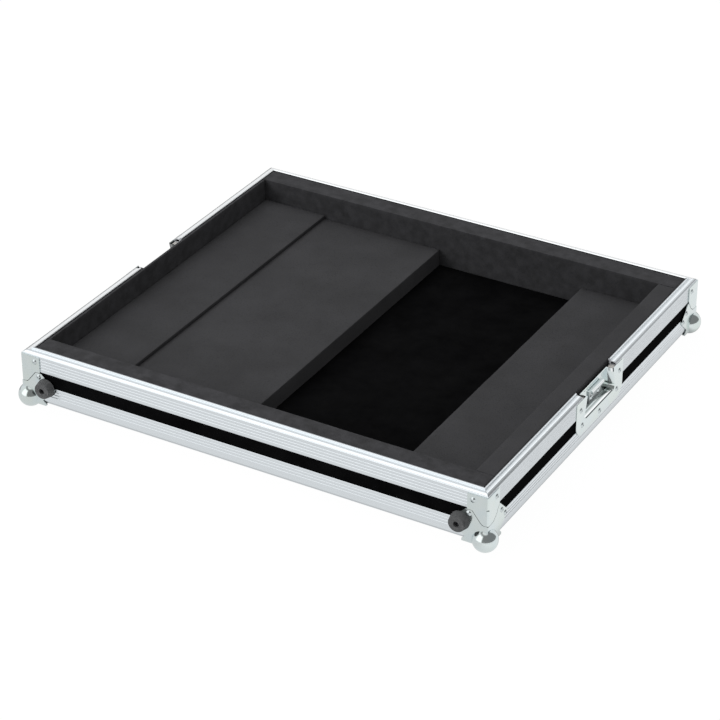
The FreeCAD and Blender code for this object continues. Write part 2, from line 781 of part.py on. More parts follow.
for corner in CORNERS:
    name = "%s_ball_corner" % corner
    body = new_body(name)
    for role in ("XY_Plane", "XZ_Plane", "YZ_Plane"):
        plate_name = "%s_%s_plate" % (name, role[:2].lower())
        start = S.contact_gap if role == "XZ_Plane" else -S.plate_outside
        sketch = new_sketch(body, "%s_outline" % plate_name, role, [ear_outline()], offset=start)
        pad(body, plate_name, sketch, S.corner_plate)
    tips = []
    middle = -(S.contact_gap + half(S.corner_plate)).value
    far, near = S.ear_far.value, S.ear_near.value
    for a, b in ((far, near), (near, far)):
        tips += [edge_at(a, b, middle, "z"), edge_at(a, middle, b, "y"), edge_at(middle, a, b, "x")]
    round_edges(body, "%s_ear_rounds" % name, S.ear_round, lambda edge: any(test(edge) for test in tips))
    ball_part(body, "PartDesign::AdditiveSphere", "%s_ball" % name, S.ball_inset,
              {"Radius": S.ball_radius})
    ball_part(body, "PartDesign::SubtractiveSphere", "%s_hollow" % name, S.ball_inset,
              {"Radius": S.ball_radius - S.ball_shell})
    cube = twice(S.ball_radius)
    ball_part(body, "PartDesign::SubtractiveBox", "%s_seat" % name, -S.contact_gap,
              {"Length": cube, "Width": cube, "Height": cube})
    long_plane, side_plane = ("XZ", "YZ") if CORNERS[corner][3] else ("YZ", "XZ")
    for plane, outline in ((long_plane, BRACE_LONG_EDGE), (side_plane, BRACE_SIDE_EDGE)):
        notch = new_sketch(body, "%s_%s_notch" % (name, plane.lower()), "%s_Plane" % plane,
                           [brace_notch(outline)],
                           offset=S.plate_outside if plane == "XZ" else -S.plate_outside)
        cut_depth(body, "%s_%s_seat" % (name, plane.lower()), notch, S.plate_outside,
                  reverse=plane == "YZ")
    low = (S.ear_hole_far, S.ear_hole_near, S.rivet_hole_radius)
    middle_hole = (S.ear_hole_middle, S.ear_hole_middle, S.rivet_hole_radius)
    high = (S.ear_hole_near, S.ear_hole_far, S.rivet_hole_radius)
    top = (S.ear_hole_top_reach, S.ear_hole_top_height, S.rivet_hole_radius)
    if corner.startswith("front"):
        long_spots = [top, (S.corner_x - S.foot_offset, S.foot_height_above, S.foot_hole_radius)]
    else:
        long_spots = [top, low]
    drill(body, "%s_under_holes" % name, "XY_Plane", [low, middle_hole, high])
    drill(body, "%s_long_side_holes" % name, "%s_Plane" % long_plane, long_spots)
    drill(body, "%s_short_side_holes" % name, "%s_Plane" % side_plane, [low, middle_hole])
    place_on_corner(body, corner)

# Corner braces: a bent plate over the mitre of the rim, its pointed foot let into the ball corner
brace_top = rim_drop(S.brace_top_drop)
for corner, (_, _, _, long_on_x) in CORNERS.items():
    name = "%s_corner_brace" % corner
    body = new_body(name)
    seat, outside, reach = S.contact_gap, S.brace_outside, S.brace_reach
    plan = Path([(-outside, -outside), (reach, -outside), (reach, -seat),
                 (-seat, -seat), (-seat, reach), (-outside, reach)])
    pad(body, "%s_plate" % name, new_sketch(body, "%s_plan" % name, "XY_Plane", [plan],
                                            offset=S.brace_tip_foot), brace_top - S.brace_tip_foot)
    edges = (BRACE_LONG_EDGE, BRACE_SIDE_EDGE) if long_on_x else (BRACE_SIDE_EDGE, BRACE_LONG_EDGE)
    for plane, edge in zip(("XZ", "YZ"), edges):
        cut_through(body, "%s_%s_point" % (name, plane.lower()),
                    new_sketch(body, "%s_%s_edge" % (name, plane.lower()), "%s_Plane" % plane,
                               [brace_cut(edge)]))
    sharp = -outside.value
    round_edges(body, "%s_bend" % name, S.brace_edge_round, edge_at(sharp, sharp, 0, "z"))
    dent_end = S.brace_dent_reach - outside
    dent = new_sketch(body, "%s_dent_plan" % name, "XY_Plane",
                      [Path([(-outside, -outside), (dent_end, -outside), (-outside, dent_end)])],
                      offset=S.brace_dent_foot)
    cut_depth(body, "%s_dent" % name, dent, S.brace_dent_height, reverse=True)
    spot = [(S.brace_rivet_reach, S.brace_rivet_height, S.rivet_hole_radius)]
    drill(body, "%s_xz_hole" % name, "XZ_Plane", spot)
    drill(body, "%s_yz_hole" % name, "YZ_Plane", spot)
    place_on_corner(body, corner)

def in_mouth(edge):
    """Tells whether an edge runs round the mouth of a dish, in the flange's outer face."""
    box = edge.BoundBox
    tolerance = S.contact_gap.value
    across = S.dish_mouth_half_low + S.dish_mouth_round
    return (box.YLength < tolerance and abs(box.Center.y + S.dish_face.value) < tolerance
            and abs(box.Center.x) < across.value and box.ZMin > S.dish_foot.value + tolerance)


# Half dishes of the two latches
for side in ("right", "left"):
    name = "%s_latch_dish" % side
    body = new_body(name)
    mouth = [(-S.dish_mouth_half_top, S.dish_top), (-S.dish_mouth_half_low, S.dish_mouth_low),
             (-S.dish_mouth_foot_half, S.dish_mouth_foot), (S.dish_mouth_foot_half, S.dish_mouth_foot),
             (S.dish_mouth_half_low, S.dish_mouth_low), (S.dish_mouth_half_top, S.dish_top)]
    over = S.dish_top + S.dish_sheet
    skin = S.dish_sheet
    flange = Path([(-S.dish_half_width, S.dish_foot), (S.dish_half_width, S.dish_foot),
                   (S.dish_half_width, S.dish_top), (-S.dish_half_width, S.dish_top)])
    pad(body, "%s_flange" % name, new_sketch(body, "%s_flange_face" % name, "XZ_Plane", [flange],
                                             offset=S.plate_face), skin)
    round_low = [edge_at(sign * S.dish_half_width.value, 0, S.dish_foot.value, "y") for sign in (1, -1)]
    round_edges(body, "%s_flange_corners" % name, S.dish_corner,
                lambda edge: any(test(edge) for test in round_low))
    back_top = rim_drop(S.dish_back_drop)
    tub = Path([(-(S.dish_mouth_half_top + skin), back_top),
                (-(S.dish_mouth_half_low + skin), S.dish_mouth_low),
                (-(S.dish_mouth_foot_half + skin), S.dish_mouth_foot - skin),
                (S.dish_mouth_foot_half + skin, S.dish_mouth_foot - skin),
                (S.dish_mouth_half_low + skin, S.dish_mouth_low),
                (S.dish_mouth_half_top + skin, back_top)],
               {1: (S.dish_mouth_round + skin, False), 3: (S.dish_mouth_round + skin, False)})
    pad(body, "%s_tub" % name, new_sketch(body, "%s_tub_face" % name, "XZ_Plane", [tub],
                                          offset=S.panel_inner_offset), S.plate_face - S.panel_inner_offset)
    opening = Path([(-S.dish_mouth_half_top, over)] + mouth[1:-1] + [(S.dish_mouth_half_top, over)],
                   {1: (S.dish_mouth_round, False), 3: (S.dish_mouth_round, False)})
    sketch = new_sketch(body, "%s_opening" % name, "XZ_Plane", [opening], offset=S.dish_back)
    cut_depth(body, "%s_hollow" % name, sketch, S.dish_face - S.dish_back + skin + skin, reverse=True)
    round_edges(body, "%s_mouth_bend" % name, S.dish_bend, in_mouth)
    spots = wall_spots(side)
    drill(body, "%s_holes" % name, "XZ_Plane",
          spots.upper + spots.lower + spots.middle
          + [(S.strike_rivet, S.strike_rivet_height, S.rivet_hole_radius),
             (-S.strike_rivet, S.strike_rivet_height, S.rivet_hole_radius)])
    place_on_side(body, side)

    # The strike, a bent plate with a lip for the latch on the lid to hook under
    name = "%s_latch_strike" % side
    body = new_body(name)
    back = S.dish_back + S.contact_gap
    front = back + S.strike_sheet
    lip_in = back + S.strike_reach - S.strike_sheet
    lip_out = back + S.strike_reach
    under = S.strike_top - S.strike_sheet
    bend = Path([(-back, S.strike_foot), (-back, S.strike_top - S.strike_bend),
                 (-(back + S.strike_bend), S.strike_top), (-(lip_out - S.strike_bend), S.strike_top),
                 (-lip_out, S.strike_top - S.strike_bend), (-lip_out, S.strike_top - S.strike_lip),
                 (-lip_in, S.strike_top - S.strike_lip), (-lip_in, under), (-front, under),
                 (-front, S.strike_foot)],
                {1: (S.strike_bend, False), 3: (S.strike_bend, False)})
    pad(body, "%s_sheet" % name, new_sketch(body, "%s_bend" % name, "YZ_Plane", [bend]),
        twice(S.strike_half_width), symmetric=True)
    drill(body, "%s_holes" % name, "XZ_Plane",
          [(S.strike_rivet, S.strike_rivet_height, S.rivet_hole_radius),
           (-S.strike_rivet, S.strike_rivet_height, S.rivet_hole_radius)])
    place_on_side(body, side)

# Rubber feet on the front, turned about their own axis and laid over
for side, sign in (("left", -1), ("right", 1)):
    name = "%s_rubber_foot" % side
    body = new_body(name)
    foot = Path([(S.foot_hole_radius, ZERO), (S.foot_base_radius, ZERO),
                 (S.foot_top_radius, S.foot_length - S.foot_edge),
                 (S.foot_top_radius - S.foot_edge, S.foot_length),
                 (S.foot_bore_radius, S.foot_length),
                 (S.foot_bore_radius, S.foot_length - S.foot_bore_depth),
                 (S.foot_hole_radius, S.foot_length - S.foot_bore_depth)],
                {2: (S.foot_edge, False)})
    revolve(body, "%s_turning" % name, new_sketch(body, "%s_section" % name, "XZ_Plane", [foot]), "Z_Axis")
    offset = S.foot_offset if sign > 0 else -S.foot_offset
    place(body, offset, -(S.half_depth + S.ear_face), S.tray_bottom + S.foot_height_above)
    body.Placement.Rotation = FreeCAD.Rotation(FreeCAD.Vector(1, 0, 0), QUARTER_TURN)


def template(name, section):
    """Turns the pattern of a fastener about Z, its head above Z = 0."""
    body = new_body(name)
    revolve(body, "%s_turning" % name, new_sketch(body, "%s_section" % name, "XZ_Plane", [section]), "Z_Axis")
    return body


def rivet(name, grip):
    """Pattern of a domed rivet whose shank is as long as the grip."""
    dome = Length((S.rivet_head_radius.value ** 2 + S.rivet_head_height.value ** 2)
                  / (2 * S.rivet_head_height.value),
                  "((%s ^ 2 + %s ^ 2) / (2 * %s))" % (S.rivet_head_radius.text, S.rivet_head_height.text,
                                                     S.rivet_head_height.text))
    rise = math.sqrt(dome.value ** 2 - S.rivet_pin_radius.value ** 2) - dome.value
    brim = S.rivet_head_height + Length(rise, "(sqrt(%s ^ 2 - %s ^ 2) - %s)" % (
        dome.text, S.rivet_pin_radius.text, dome.text))
    section = Path([(ZERO, -grip), (S.rivet_shank_radius, -grip), (S.rivet_shank_radius, ZERO),
                    (S.rivet_head_radius, ZERO), (S.rivet_pin_radius, brim),
                    (S.rivet_pin_radius, S.rivet_head_height - S.rivet_pin_depth),
                    (ZERO, S.rivet_head_height - S.rivet_pin_depth)],
                   {3: (dome, False)})
    return template(name, section)


screw_pattern = template("screw_pattern", Path([
    (ZERO, -(S.ear_face - S.panel_inner_offset + S.foot_length - S.foot_bore_depth)),
    (S.screw_shank_radius, -(S.ear_face - S.panel_inner_offset + S.foot_length - S.foot_bore_depth)),
    (S.screw_shank_radius, ZERO), (S.screw_head_radius, ZERO),
    (S.screw_head_radius, S.screw_head_height), (S.screw_recess_radius, S.screw_head_height),
    (S.screw_recess_radius, S.screw_head_height - S.screw_recess_depth),
    (ZERO, S.screw_head_height - S.screw_recess_depth)]))
rim_rivet = rivet("rim_rivet_pattern", S.wall_build + S.brace_outside - S.rim_leg_inset)
dish_rim_rivet = rivet("dish_rim_rivet_pattern", S.dish_face - S.rim_leg_inset)
dish_wall_rivet = rivet("dish_wall_rivet_pattern", S.dish_face - S.panel_inner_offset)
ear_rivet = rivet("ear_rivet_pattern", S.ear_face - S.panel_inner_offset)
ear_floor_rivet = rivet("ear_floor_rivet_pattern", S.plate_outside + S.floor_top)
floor_rivet = rivet("floor_rivet_pattern", S.edge_shelf_top)
strike_rivet = rivet("strike_rivet_pattern", S.contact_gap + S.dish_sheet + S.strike_sheet)


def on_side(pattern, side, outward, spots):
    """Copies a fastener onto a side wall, its head on a face that far out."""
    side_x, side_y, turn, _ = SIDES[side]
    frame = FreeCAD.Placement(FreeCAD.Vector(side_x.value, side_y.value, S.tray_bottom.value),
                              FreeCAD.Rotation(FreeCAD.Vector(0, 0, 1), turn))
    outward_turn = FreeCAD.Rotation(FreeCAD.Vector(1, 0, 0), QUARTER_TURN)
    copies = []
    for spot in spots:
        stand = FreeCAD.Placement(FreeCAD.Vector(spot[0].value, -outward.value, spot[1].value), outward_turn)
        shape = pattern.Shape.copy()
        shape.Placement = frame.multiply(stand)
        copies.append(shape)
    return copies


def below(pattern, height, points):
    """Copies a fastener under the tray, its head downward at a height."""
    flip = FreeCAD.Rotation(FreeCAD.Vector(1, 0, 0), 2 * QUARTER_TURN)
    copies = []
    for x, y in points:
        shape = pattern.Shape.copy()
        shape.Placement = FreeCAD.Placement(FreeCAD.Vector(x, y, height), flip)
        copies.append(shape)
    return copies


def group(name, shapes):
    """Gathers identical fasteners in one node of separate solids."""
    node = document.addObject("Part::Feature", name)
    node.Label = name
    node.Shape = Part.makeCompound(shapes)
    return node


brace_rivets, ear_rivets, dish_rivets, strike_rivets = [], [], [], []
for side in SIDES:
    spots = wall_spots(side)
    brace_rivets += on_side(rim_rivet, side, S.wall_build + S.brace_outside, spots.brace)
    ear_rivets += on_side(ear_rivet, side, S.ear_face, spots.ears)
    dish_rivets += on_side(dish_rim_rivet, side, S.dish_face, spots.upper)
    dish_rivets += on_side(dish_wall_rivet, side, S.dish_face, spots.lower + spots.middle)
    if side in ("left", "right"):
        strike_rivets += on_side(strike_rivet, side, S.dish_back + S.contact_gap + S.strike_sheet,
                                 [(S.strike_rivet, S.strike_rivet_height),
                                  (-S.strike_rivet, S.strike_rivet_height)])
edge_count = len(LONG_RIVET_SHARES) * 2 + len(SHORT_RIVET_SHARES) * 2
plan_points = [(x.value, y.value) for x, y, _ in floor_holes]
floor_rivets = below(floor_rivet, S.tray_bottom.value, plan_points[:edge_count])
ear_rivets += below(ear_floor_rivet, (S.tray_bottom - S.plate_outside).value, plan_points[edge_count:])
foot_screws = on_side(screw_pattern, "front", S.ear_face + S.foot_length - S.foot_bore_depth,
                      [(S.foot_offset, S.foot_height_above), (-S.foot_offset, S.foot_height_above)])
groups = [
    group("brace_rivets", brace_rivets),
    group("ball_corner_rivets", ear_rivets),
    group("latch_dish_rivets", dish_rivets),
    group("strike_rivets", strike_rivets),
    group("bottom_edge_rivets", floor_rivets),
    group("foot_screws", foot_screws),
]

# Foam: a strip inside each wall, blocks on the floor with a deep gap between them
foam_foot = S.floor_top + S.contact_gap
foam_over_shelf = S.edge_shelf_top + S.contact_gap
foam_top = rim_drop(S.foam_top_drop)
shelf_end = S.edge_inner_leg - S.edge_web_inner + S.foam_gap
FOAM_STRIPS = (
    ("back_foam_strip", "back", S.back_foam, S.half_width),
    ("front_foam_strip", "front", S.front_foam, S.half_width),
    ("right_foam_strip", "right", S.right_foam, None),
    ("left_foam_lining", "left", S.left_lining, None),
)
for name, side, thickness, run in FOAM_STRIPS:
    body = new_body(name)
    high_step = rim_drop(S.rim_leg_drop + S.foam_gap)
    low_step = S.edge_shelf_top + S.edge_inner_leg + S.foam_gap
    wall_face = -(S.panel_inner_offset - S.foam_gap)
    leg_face = -(S.edge_web_inner - S.foam_gap)
    points = [(thickness, foam_top), (S.foam_rim_gap, foam_top), (S.foam_rim_gap, high_step),
              (wall_face, high_step), (wall_face, low_step), (leg_face, low_step),
              (leg_face, foam_over_shelf)]
    if thickness.value > shelf_end.value:
        points += [(shelf_end, foam_over_shelf), (shelf_end, foam_foot), (thickness, foam_foot)]
    else:
        points += [(thickness, foam_over_shelf)]
    sketch = new_sketch(body, "%s_section" % name, "YZ_Plane", [Path(points)])
    if run is not None:
        pad(body, "%s_run" % name, sketch, twice(run - S.foam_rim_gap), symmetric=True)
        # the shelves of the short sides' bottom profiles pass under the ends
        shelf_start = run - shelf_end
        end_cut = rectangle(shelf_start, ZERO, run, foam_over_shelf)
        start_cut = rectangle(-run, ZERO, -shelf_start, foam_over_shelf)
        cut_through(body, "%s_ends" % name,
                    new_sketch(body, "%s_end_cuts" % name, "XZ_Plane", [end_cut, start_cut]))
    else:
        # the short strips stand between the two long ones, whose thicknesses differ
        to_front = S.half_depth - S.front_foam - S.foam_gap
        to_back = S.half_depth - S.back_foam - S.foam_gap
        start = -to_front if side == "right" else -to_back
        sketch.setExpression(".AttachmentOffset.Base.z", start.text)
        pad(body, "%s_run" % name, sketch, to_front + to_back)
    place_on_side(body, side)

block_front = -(S.half_depth - S.front_foam - S.foam_gap)
block_back = S.half_depth - S.back_foam - S.foam_gap
lining_face = -(S.half_width - S.left_lining - S.foam_gap)
shelf_line = -(S.half_width - shelf_end)
right_face = S.half_width - S.right_foam - S.foam_gap
BLOCKS = (
    ("left_foam_block", [(lining_face, foam_over_shelf), (shelf_line, foam_over_shelf),
                         (shelf_line, foam_foot), (S.centre_block_edge, foam_foot),
                         (S.centre_block_edge, S.block_top), (lining_face, S.block_top)]),
    ("left_foam_riser", [(lining_face, S.block_top + S.contact_gap),
                         (S.riser_edge, S.block_top + S.contact_gap),
                         (S.riser_edge, S.block_top + S.riser_sheet),
                         (lining_face, S.block_top + S.riser_sheet)]),
    ("right_foam_block", [(S.right_block_edge, foam_foot), (right_face, foam_foot),
                          (right_face, S.block_top), (S.right_block_edge, S.block_top)]),
)
for name, points in BLOCKS:
    body = new_body(name)
    sketch = new_sketch(body, "%s_section" % name, "XZ_Plane", [Path(points)], offset=-block_back)
    pad(body, "%s_run" % name, sketch, block_back - block_front)
    place(body, ZERO, ZERO, S.tray_bottom)

document.recompute()

# Check every object, then write one file for each piece
PATTERNS = {screw_pattern.Name, rim_rivet.Name, dish_rim_rivet.Name, dish_wall_rivet.Name,
            ear_rivet.Name, ear_floor_rivet.Name, floor_rivet.Name, strike_rivet.Name}
for item in document.Objects:
    if "Invalid" in item.State or "Error" in item.State:
        raise ValueError("%s is in state %s" % (item.Name, item.State))
nodes = [item for item in document.Objects if item.TypeId == "PartDesign::Body" and item.Name not in PATTERNS]
nodes += groups
os.makedirs("parts", exist_ok=True)
for node in nodes:
    shape = node.Shape
    if shape.isNull() or not shape.isValid():
        raise ValueError("%s has no valid shape" % node.Label)
    shape.exportStep(os.path.join("parts", "%s.step" % node.Label))
print("%d pieces written" % len(nodes))
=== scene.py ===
"""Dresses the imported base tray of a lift-off-lid flight case and sets up its studio.

Lengths are in metres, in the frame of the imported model: X runs along the long side, Y from
front to back and Z up, and the four ball corners rest on Z = 0. Angles are in radians, but for
the studio's bearings and heights. A mask that comes in maps to RISE, one that goes out to FALL.
A face counts as turned towards a direction from a cosine of FACING on, and as square to it from
one of SQUARE on.
"""
import logging
import math
from dataclasses import dataclass
from enum import Enum
from typing import Callable

import bmesh
import bpy
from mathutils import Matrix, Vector


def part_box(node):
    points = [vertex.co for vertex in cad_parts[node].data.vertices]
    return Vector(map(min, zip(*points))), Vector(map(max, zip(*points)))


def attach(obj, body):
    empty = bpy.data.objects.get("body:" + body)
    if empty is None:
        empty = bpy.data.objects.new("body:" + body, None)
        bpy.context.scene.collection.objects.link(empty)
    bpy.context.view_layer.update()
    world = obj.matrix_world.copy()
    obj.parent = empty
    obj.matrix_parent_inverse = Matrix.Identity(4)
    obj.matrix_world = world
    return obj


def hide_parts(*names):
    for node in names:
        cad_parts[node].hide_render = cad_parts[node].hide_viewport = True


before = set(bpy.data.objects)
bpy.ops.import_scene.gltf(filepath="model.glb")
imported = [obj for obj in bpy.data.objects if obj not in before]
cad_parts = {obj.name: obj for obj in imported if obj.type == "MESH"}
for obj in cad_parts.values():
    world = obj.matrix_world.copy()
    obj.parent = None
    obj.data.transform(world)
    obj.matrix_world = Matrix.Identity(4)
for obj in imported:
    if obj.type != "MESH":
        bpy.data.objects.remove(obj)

LOG = logging.getLogger("flight_case")
MM = 0.001
BODY = "root"
RISE = (0.0, 1.0)
FALL = (1.0, 0.0)
FACING = 0.5
SQUARE = 0.9
Colour = tuple[float, float, float, float]
Span = tuple[float, float]
Curve = tuple[tuple[float, float], ...]


def grey(level: float) -> Colour:
    """Returns the opaque grey of a level."""
    return (level, level, level, 1.0)


class Axis(Enum):
    """The three directions of the frame."""

    X = 0
    Y = 1
    Z = 2

    def vector(self, length: float = 1.0) -> Vector:
        """Returns the vector of a length along this axis."""
        return Vector([length if axis is self else 0.0 for axis in Axis])


class Graph:
    """The node graph of a material or of the world, filled one node at a time."""

    def __init__(self, tree: bpy.types.NodeTree) -> None:
        """Empties the tree.

        Args:
            tree: The node tree to fill.
        """
        self.tree = tree
        tree.nodes.clear()

    def add(self, kind: str, inputs: dict | None = None, **settings) -> bpy.types.Node:
        """Adds a node.

        Args:
            kind: The node's type name.
            inputs: Values or sockets by input name or number.
            settings: Properties of the node itself.

        Returns:
            The new node.
        """
        node = self.tree.nodes.new(kind)
        for name, value in settings.items():
            setattr(node, name, value)
        for name, value in (inputs or {}).items():
            if isinstance(value, bpy.types.NodeSocket):
                self.tree.links.new(value, node.inputs[name])
            else:
                node.inputs[name].default_value = value
        return node

    def mapped(self, scale: tuple[float, float, float], turn: float = 0.0) -> bpy.types.NodeSocket:
        """Scales the object's own coordinates.

        Args:
            scale: Pattern repeats per metre along X, Y and Z.
            turn: Turn about each axis, in radians.

        Returns:
            The socket that gives the scaled coordinates.
        """
        place = self.add("ShaderNodeTexCoord")
        mapping = self.add("ShaderNodeMapping", {"Vector": place.outputs["Object"], "Scale": scale,
                                                 "Rotation": (turn, turn, turn)})
        return mapping.outputs["Vector"]

    def even(self, repeats: float, turn: float = 0.0) -> bpy.types.NodeSocket:
        """Scales the object's own coordinates by the same repeats per metre all round."""
        return self.mapped((repeats, repeats, repeats), turn)

    def from_middle(self, axis: Axis) -> bpy.types.NodeSocket:
        """Reads the distance from the middle of the frame along an axis, in metres."""
        sides = self.add("ShaderNodeSeparateXYZ", {0: self.add("ShaderNodeTexCoord").outputs["Object"]})
        return self.math("ABSOLUTE", sides.outputs[axis.value])

    def noise(self, vector: bpy.types.NodeSocket, detail: float,
              roughness: float = 0.5) -> bpy.types.NodeSocket:
        """Adds a noise texture.

        Args:
            vector: Where the noise is read.
            detail: Number of octaves.
            roughness: How strongly the fine octaves show.

        Returns:
            The socket with the noise's value.
        """
        node = self.add("ShaderNodeTexNoise", {"Vector": vector, "Scale": 1.0, "Detail": detail,
                                               "Roughness": roughness})
        return node.outputs["Fac"]

    def cells(self, repeats: float) -> bpy.types.NodeSocket:
        """Adds a pattern of cells and gives the distance from their middles."""
        inputs = {"Vector": self.even(repeats), "Scale": 1.0, "Randomness": 1.0}
        return self.add("ShaderNodeTexVoronoi", inputs).outputs["Distance"]

    def span(self, value: bpy.types.NodeSocket, source: Span,
             target: Span = RISE) -> bpy.types.NodeSocket:
        """Maps one range of values to another, clamped at both ends.

        Args:
            value: The value.
            source: The range that it comes from.
            target: What the ends of that range become.

        Returns:
            The socket with the mapped value.
        """
        node = self.add("ShaderNodeMapRange", {0: value, 1: source[0], 2: source[1],
                                               3: target[0], 4: target[1]}, clamp=True)
        return node.outputs[0]

    def curve(self, value: bpy.types.NodeSocket, points: Curve) -> bpy.types.NodeSocket:
        """Maps a value from 0 to 1 along a smooth curve through the given points.

        Args:
            value: The value.
            points: Where the curve goes through, in rising order.

        Returns:
            The socket with the mapped value.
        """
        node = self.add("ShaderNodeFloatCurve", {"Value": value})
        line = node.mapping.curves[0].points
        middle = (0.5, 0.5)
        while len(line) < len(points):
            line.new(*middle)
        for point, place in zip(line, points):
            point.location = place
        node.mapping.update()
        return node.outputs[0]

    def math(self, operation: str, first: object, second: object = 0.0) -> bpy.types.NodeSocket:
        """Works out a plain calculation from one or two values or sockets."""
        return self.add("ShaderNodeMath", {0: first, 1: second}, operation=operation).outputs[0]

    def product(self, first: object, second: object) -> bpy.types.NodeSocket:
        """Multiplies two values or sockets."""
        return self.math("MULTIPLY", first, second)

    def blend(self, first: object, second: object, share: float) -> bpy.types.NodeSocket:
        """Adds the share of the first value to the rest of the second."""
        return self.math("ADD", self.product(first, share), self.product(second, 1.0 - share))

    def tint(self, share: bpy.types.NodeSocket, first: object, second: object) -> bpy.types.NodeSocket:
        """Mixes two colours.

        Args:
            share: The share that the second one takes, from 0 to 1.
            first: The first colour, or a socket of it.
            second: The second colour, or a socket of it.

        Returns:
            The socket with the mixed colour.
        """
        node = self.add("ShaderNodeMix", data_type="RGBA")
        for socket, value in ((node.inputs[0], share), (node.inputs[6], first), (node.inputs[7], second)):
            if isinstance(value, bpy.types.NodeSocket):
                self.tree.links.new(value, socket)
            else:
                socket.default_value = value
        return node.outputs[2]

    def relief(self, height: bpy.types.NodeSocket, depth: float, strength: float,
               under: bpy.types.NodeSocket | None = None) -> bpy.types.NodeSocket:
        """Turns a height pattern to a bump.

        Args:
            height: The pattern.
            depth: Its depth, in metres.
            strength: How strongly it shows, from 0 to 1.
            under: Another bump that this one lies on.

        Returns:
            The socket with the bumped normal.
        """
        inputs = {"Height": height, "Distance": depth, "Strength": strength}
        if under is not None:
            inputs["Normal"] = under
        return self.add("ShaderNodeBump", inputs).outputs["Normal"]

    def surface(self, inputs: dict) -> None:
        """Ends a material with its main shader."""
        shader = self.add("ShaderNodeBsdfPrincipled", inputs)
        self.add("ShaderNodeOutputMaterial", {"Surface": shader.outputs[0]})


def new_graph(name: str) -> tuple[bpy.types.Material, Graph]:
    """Makes an empty material.

    Args:
        name: The finish's name.

    Returns:
        The material and its graph.
    """
    material = bpy.data.materials.new(name)
    material.use_nodes = True
    return material, Graph(material.node_tree)


@dataclass(frozen=True)
class Extrusion:
    """Bright aluminium extrusion, drawn along one axis, with die lines and soft smudges.

    The curves run over the share of the way from the tray's inner face to the outer face of its
    walls. The tone curve is painted shade and painted reflection bands: it says how much of the
    bright colour is left there, the rest going to the shade colour. The rounding, which only rims
    have, says how high the surface swells. The sawn ends of the short rims, at the notch for the
    latch, are matt.
    """

    side: str
    along: Axis
    painted_shading: Curve
    rim: bool = False
    pale: Colour = (0.865, 0.915, 0.948, 1.0)
    dull: Colour = (0.845, 0.895, 0.928, 1.0)
    # Painted shade: the colour that the tone curve darkens the bright aluminium towards.
    shade: Colour = (0.03, 0.03, 0.035, 1.0)
    sawn: Colour = (0.60, 0.62, 0.65, 1.0)
    notch: float = 41.3 * MM
    saw_line: float = 0.05 * MM
    smooth: float = 0.20
    rough: float = 0.27
    across_repeats: float = 420.0
    along_repeats: float = 5.0
    band_width: float = 6.0
    line_share: float = 0.4
    streak_span: Span = (0.35, 0.65)
    smudge_repeats: float = 28.0
    smudge_span: Span = (0.35, 0.75)
    inner: tuple[float, float] = (273.5 * MM, 246.0 * MM)
    build: float = 10.3 * MM
    swell: float = 2.0 * MM
    rounding: Curve = (
        (0.0, 0.62), (0.08, 0.85), (0.146, 1.0), (0.20, 1.0), (0.27, 0.82), (0.33, 0.77),
        (0.43, 0.80), (0.52, 0.81), (0.64, 0.75), (0.72, 0.58), (0.89, 0.175), (1.0, 0.0))

    @property
    def kind(self) -> str:
        """The side and the form of the profile, such as front_rim or left_angle."""
        return "%s_%s" % (self.side, "rim" if self.rim else "angle")

    def reach(self, graph: Graph) -> bpy.types.NodeSocket:
        """Builds the share of the way from the tray's inner face to its walls' outer face.

        Args:
            graph: The material's graph.

        Returns:
            The socket with the share.
        """
        across = Axis.Y if self.along is Axis.X else Axis.X
        inner = self.inner[across.value]
        return graph.span(graph.from_middle(across), (inner, inner + self.build))

    def streaks(self, graph: Graph) -> bpy.types.NodeSocket:
        """Builds the fine lines and broad bands that the die leaves along the profile.

        Args:
            graph: The material's graph.

        Returns:
            The socket with their strength, from 0 to 1.
        """
        scale = [self.across_repeats] * 3
        scale[self.along.value] = self.along_repeats
        lines = graph.noise(graph.mapped(tuple(scale)), detail=2.0)
        bands = graph.noise(graph.mapped(tuple(side / self.band_width for side in scale)), detail=2.0)
        return graph.span(graph.blend(lines, bands, self.line_share), self.streak_span)

    def material(self) -> bpy.types.Material:
        """Builds the finish's material.

        Returns:
            The material.
        """
        material, graph = new_graph("bright_%s" % self.kind)
        reach = self.reach(graph)
        drawn = graph.tint(self.streaks(graph), self.pale, self.dull)
        smudges = graph.noise(graph.even(self.smudge_repeats), detail=4.0, roughness=0.6)
        # The base colour carries painted shade and painted reflection bands over the reach.
        inputs = {
            "Base Color": graph.tint(graph.curve(reach, self.painted_shading), self.shade, drawn),
            "Metallic": 1.0,
            "Roughness": graph.span(smudges, self.smudge_span, (self.smooth, self.rough))}
        if self.rim:
            inputs["Normal"] = graph.relief(graph.curve(reach, self.rounding), self.swell, 1.0)
        if self.rim and self.along is Axis.Y:
            edge = (self.notch + self.saw_line, self.notch + 2 * self.saw_line)
            cut = graph.span(graph.from_middle(Axis.Y), edge, FALL)
            inputs["Base Color"] = graph.tint(cut, inputs["Base Color"], self.sawn)
            inputs["Metallic"] = graph.math("SUBTRACT", 1.0, cut)
        graph.surface(inputs)
        return material


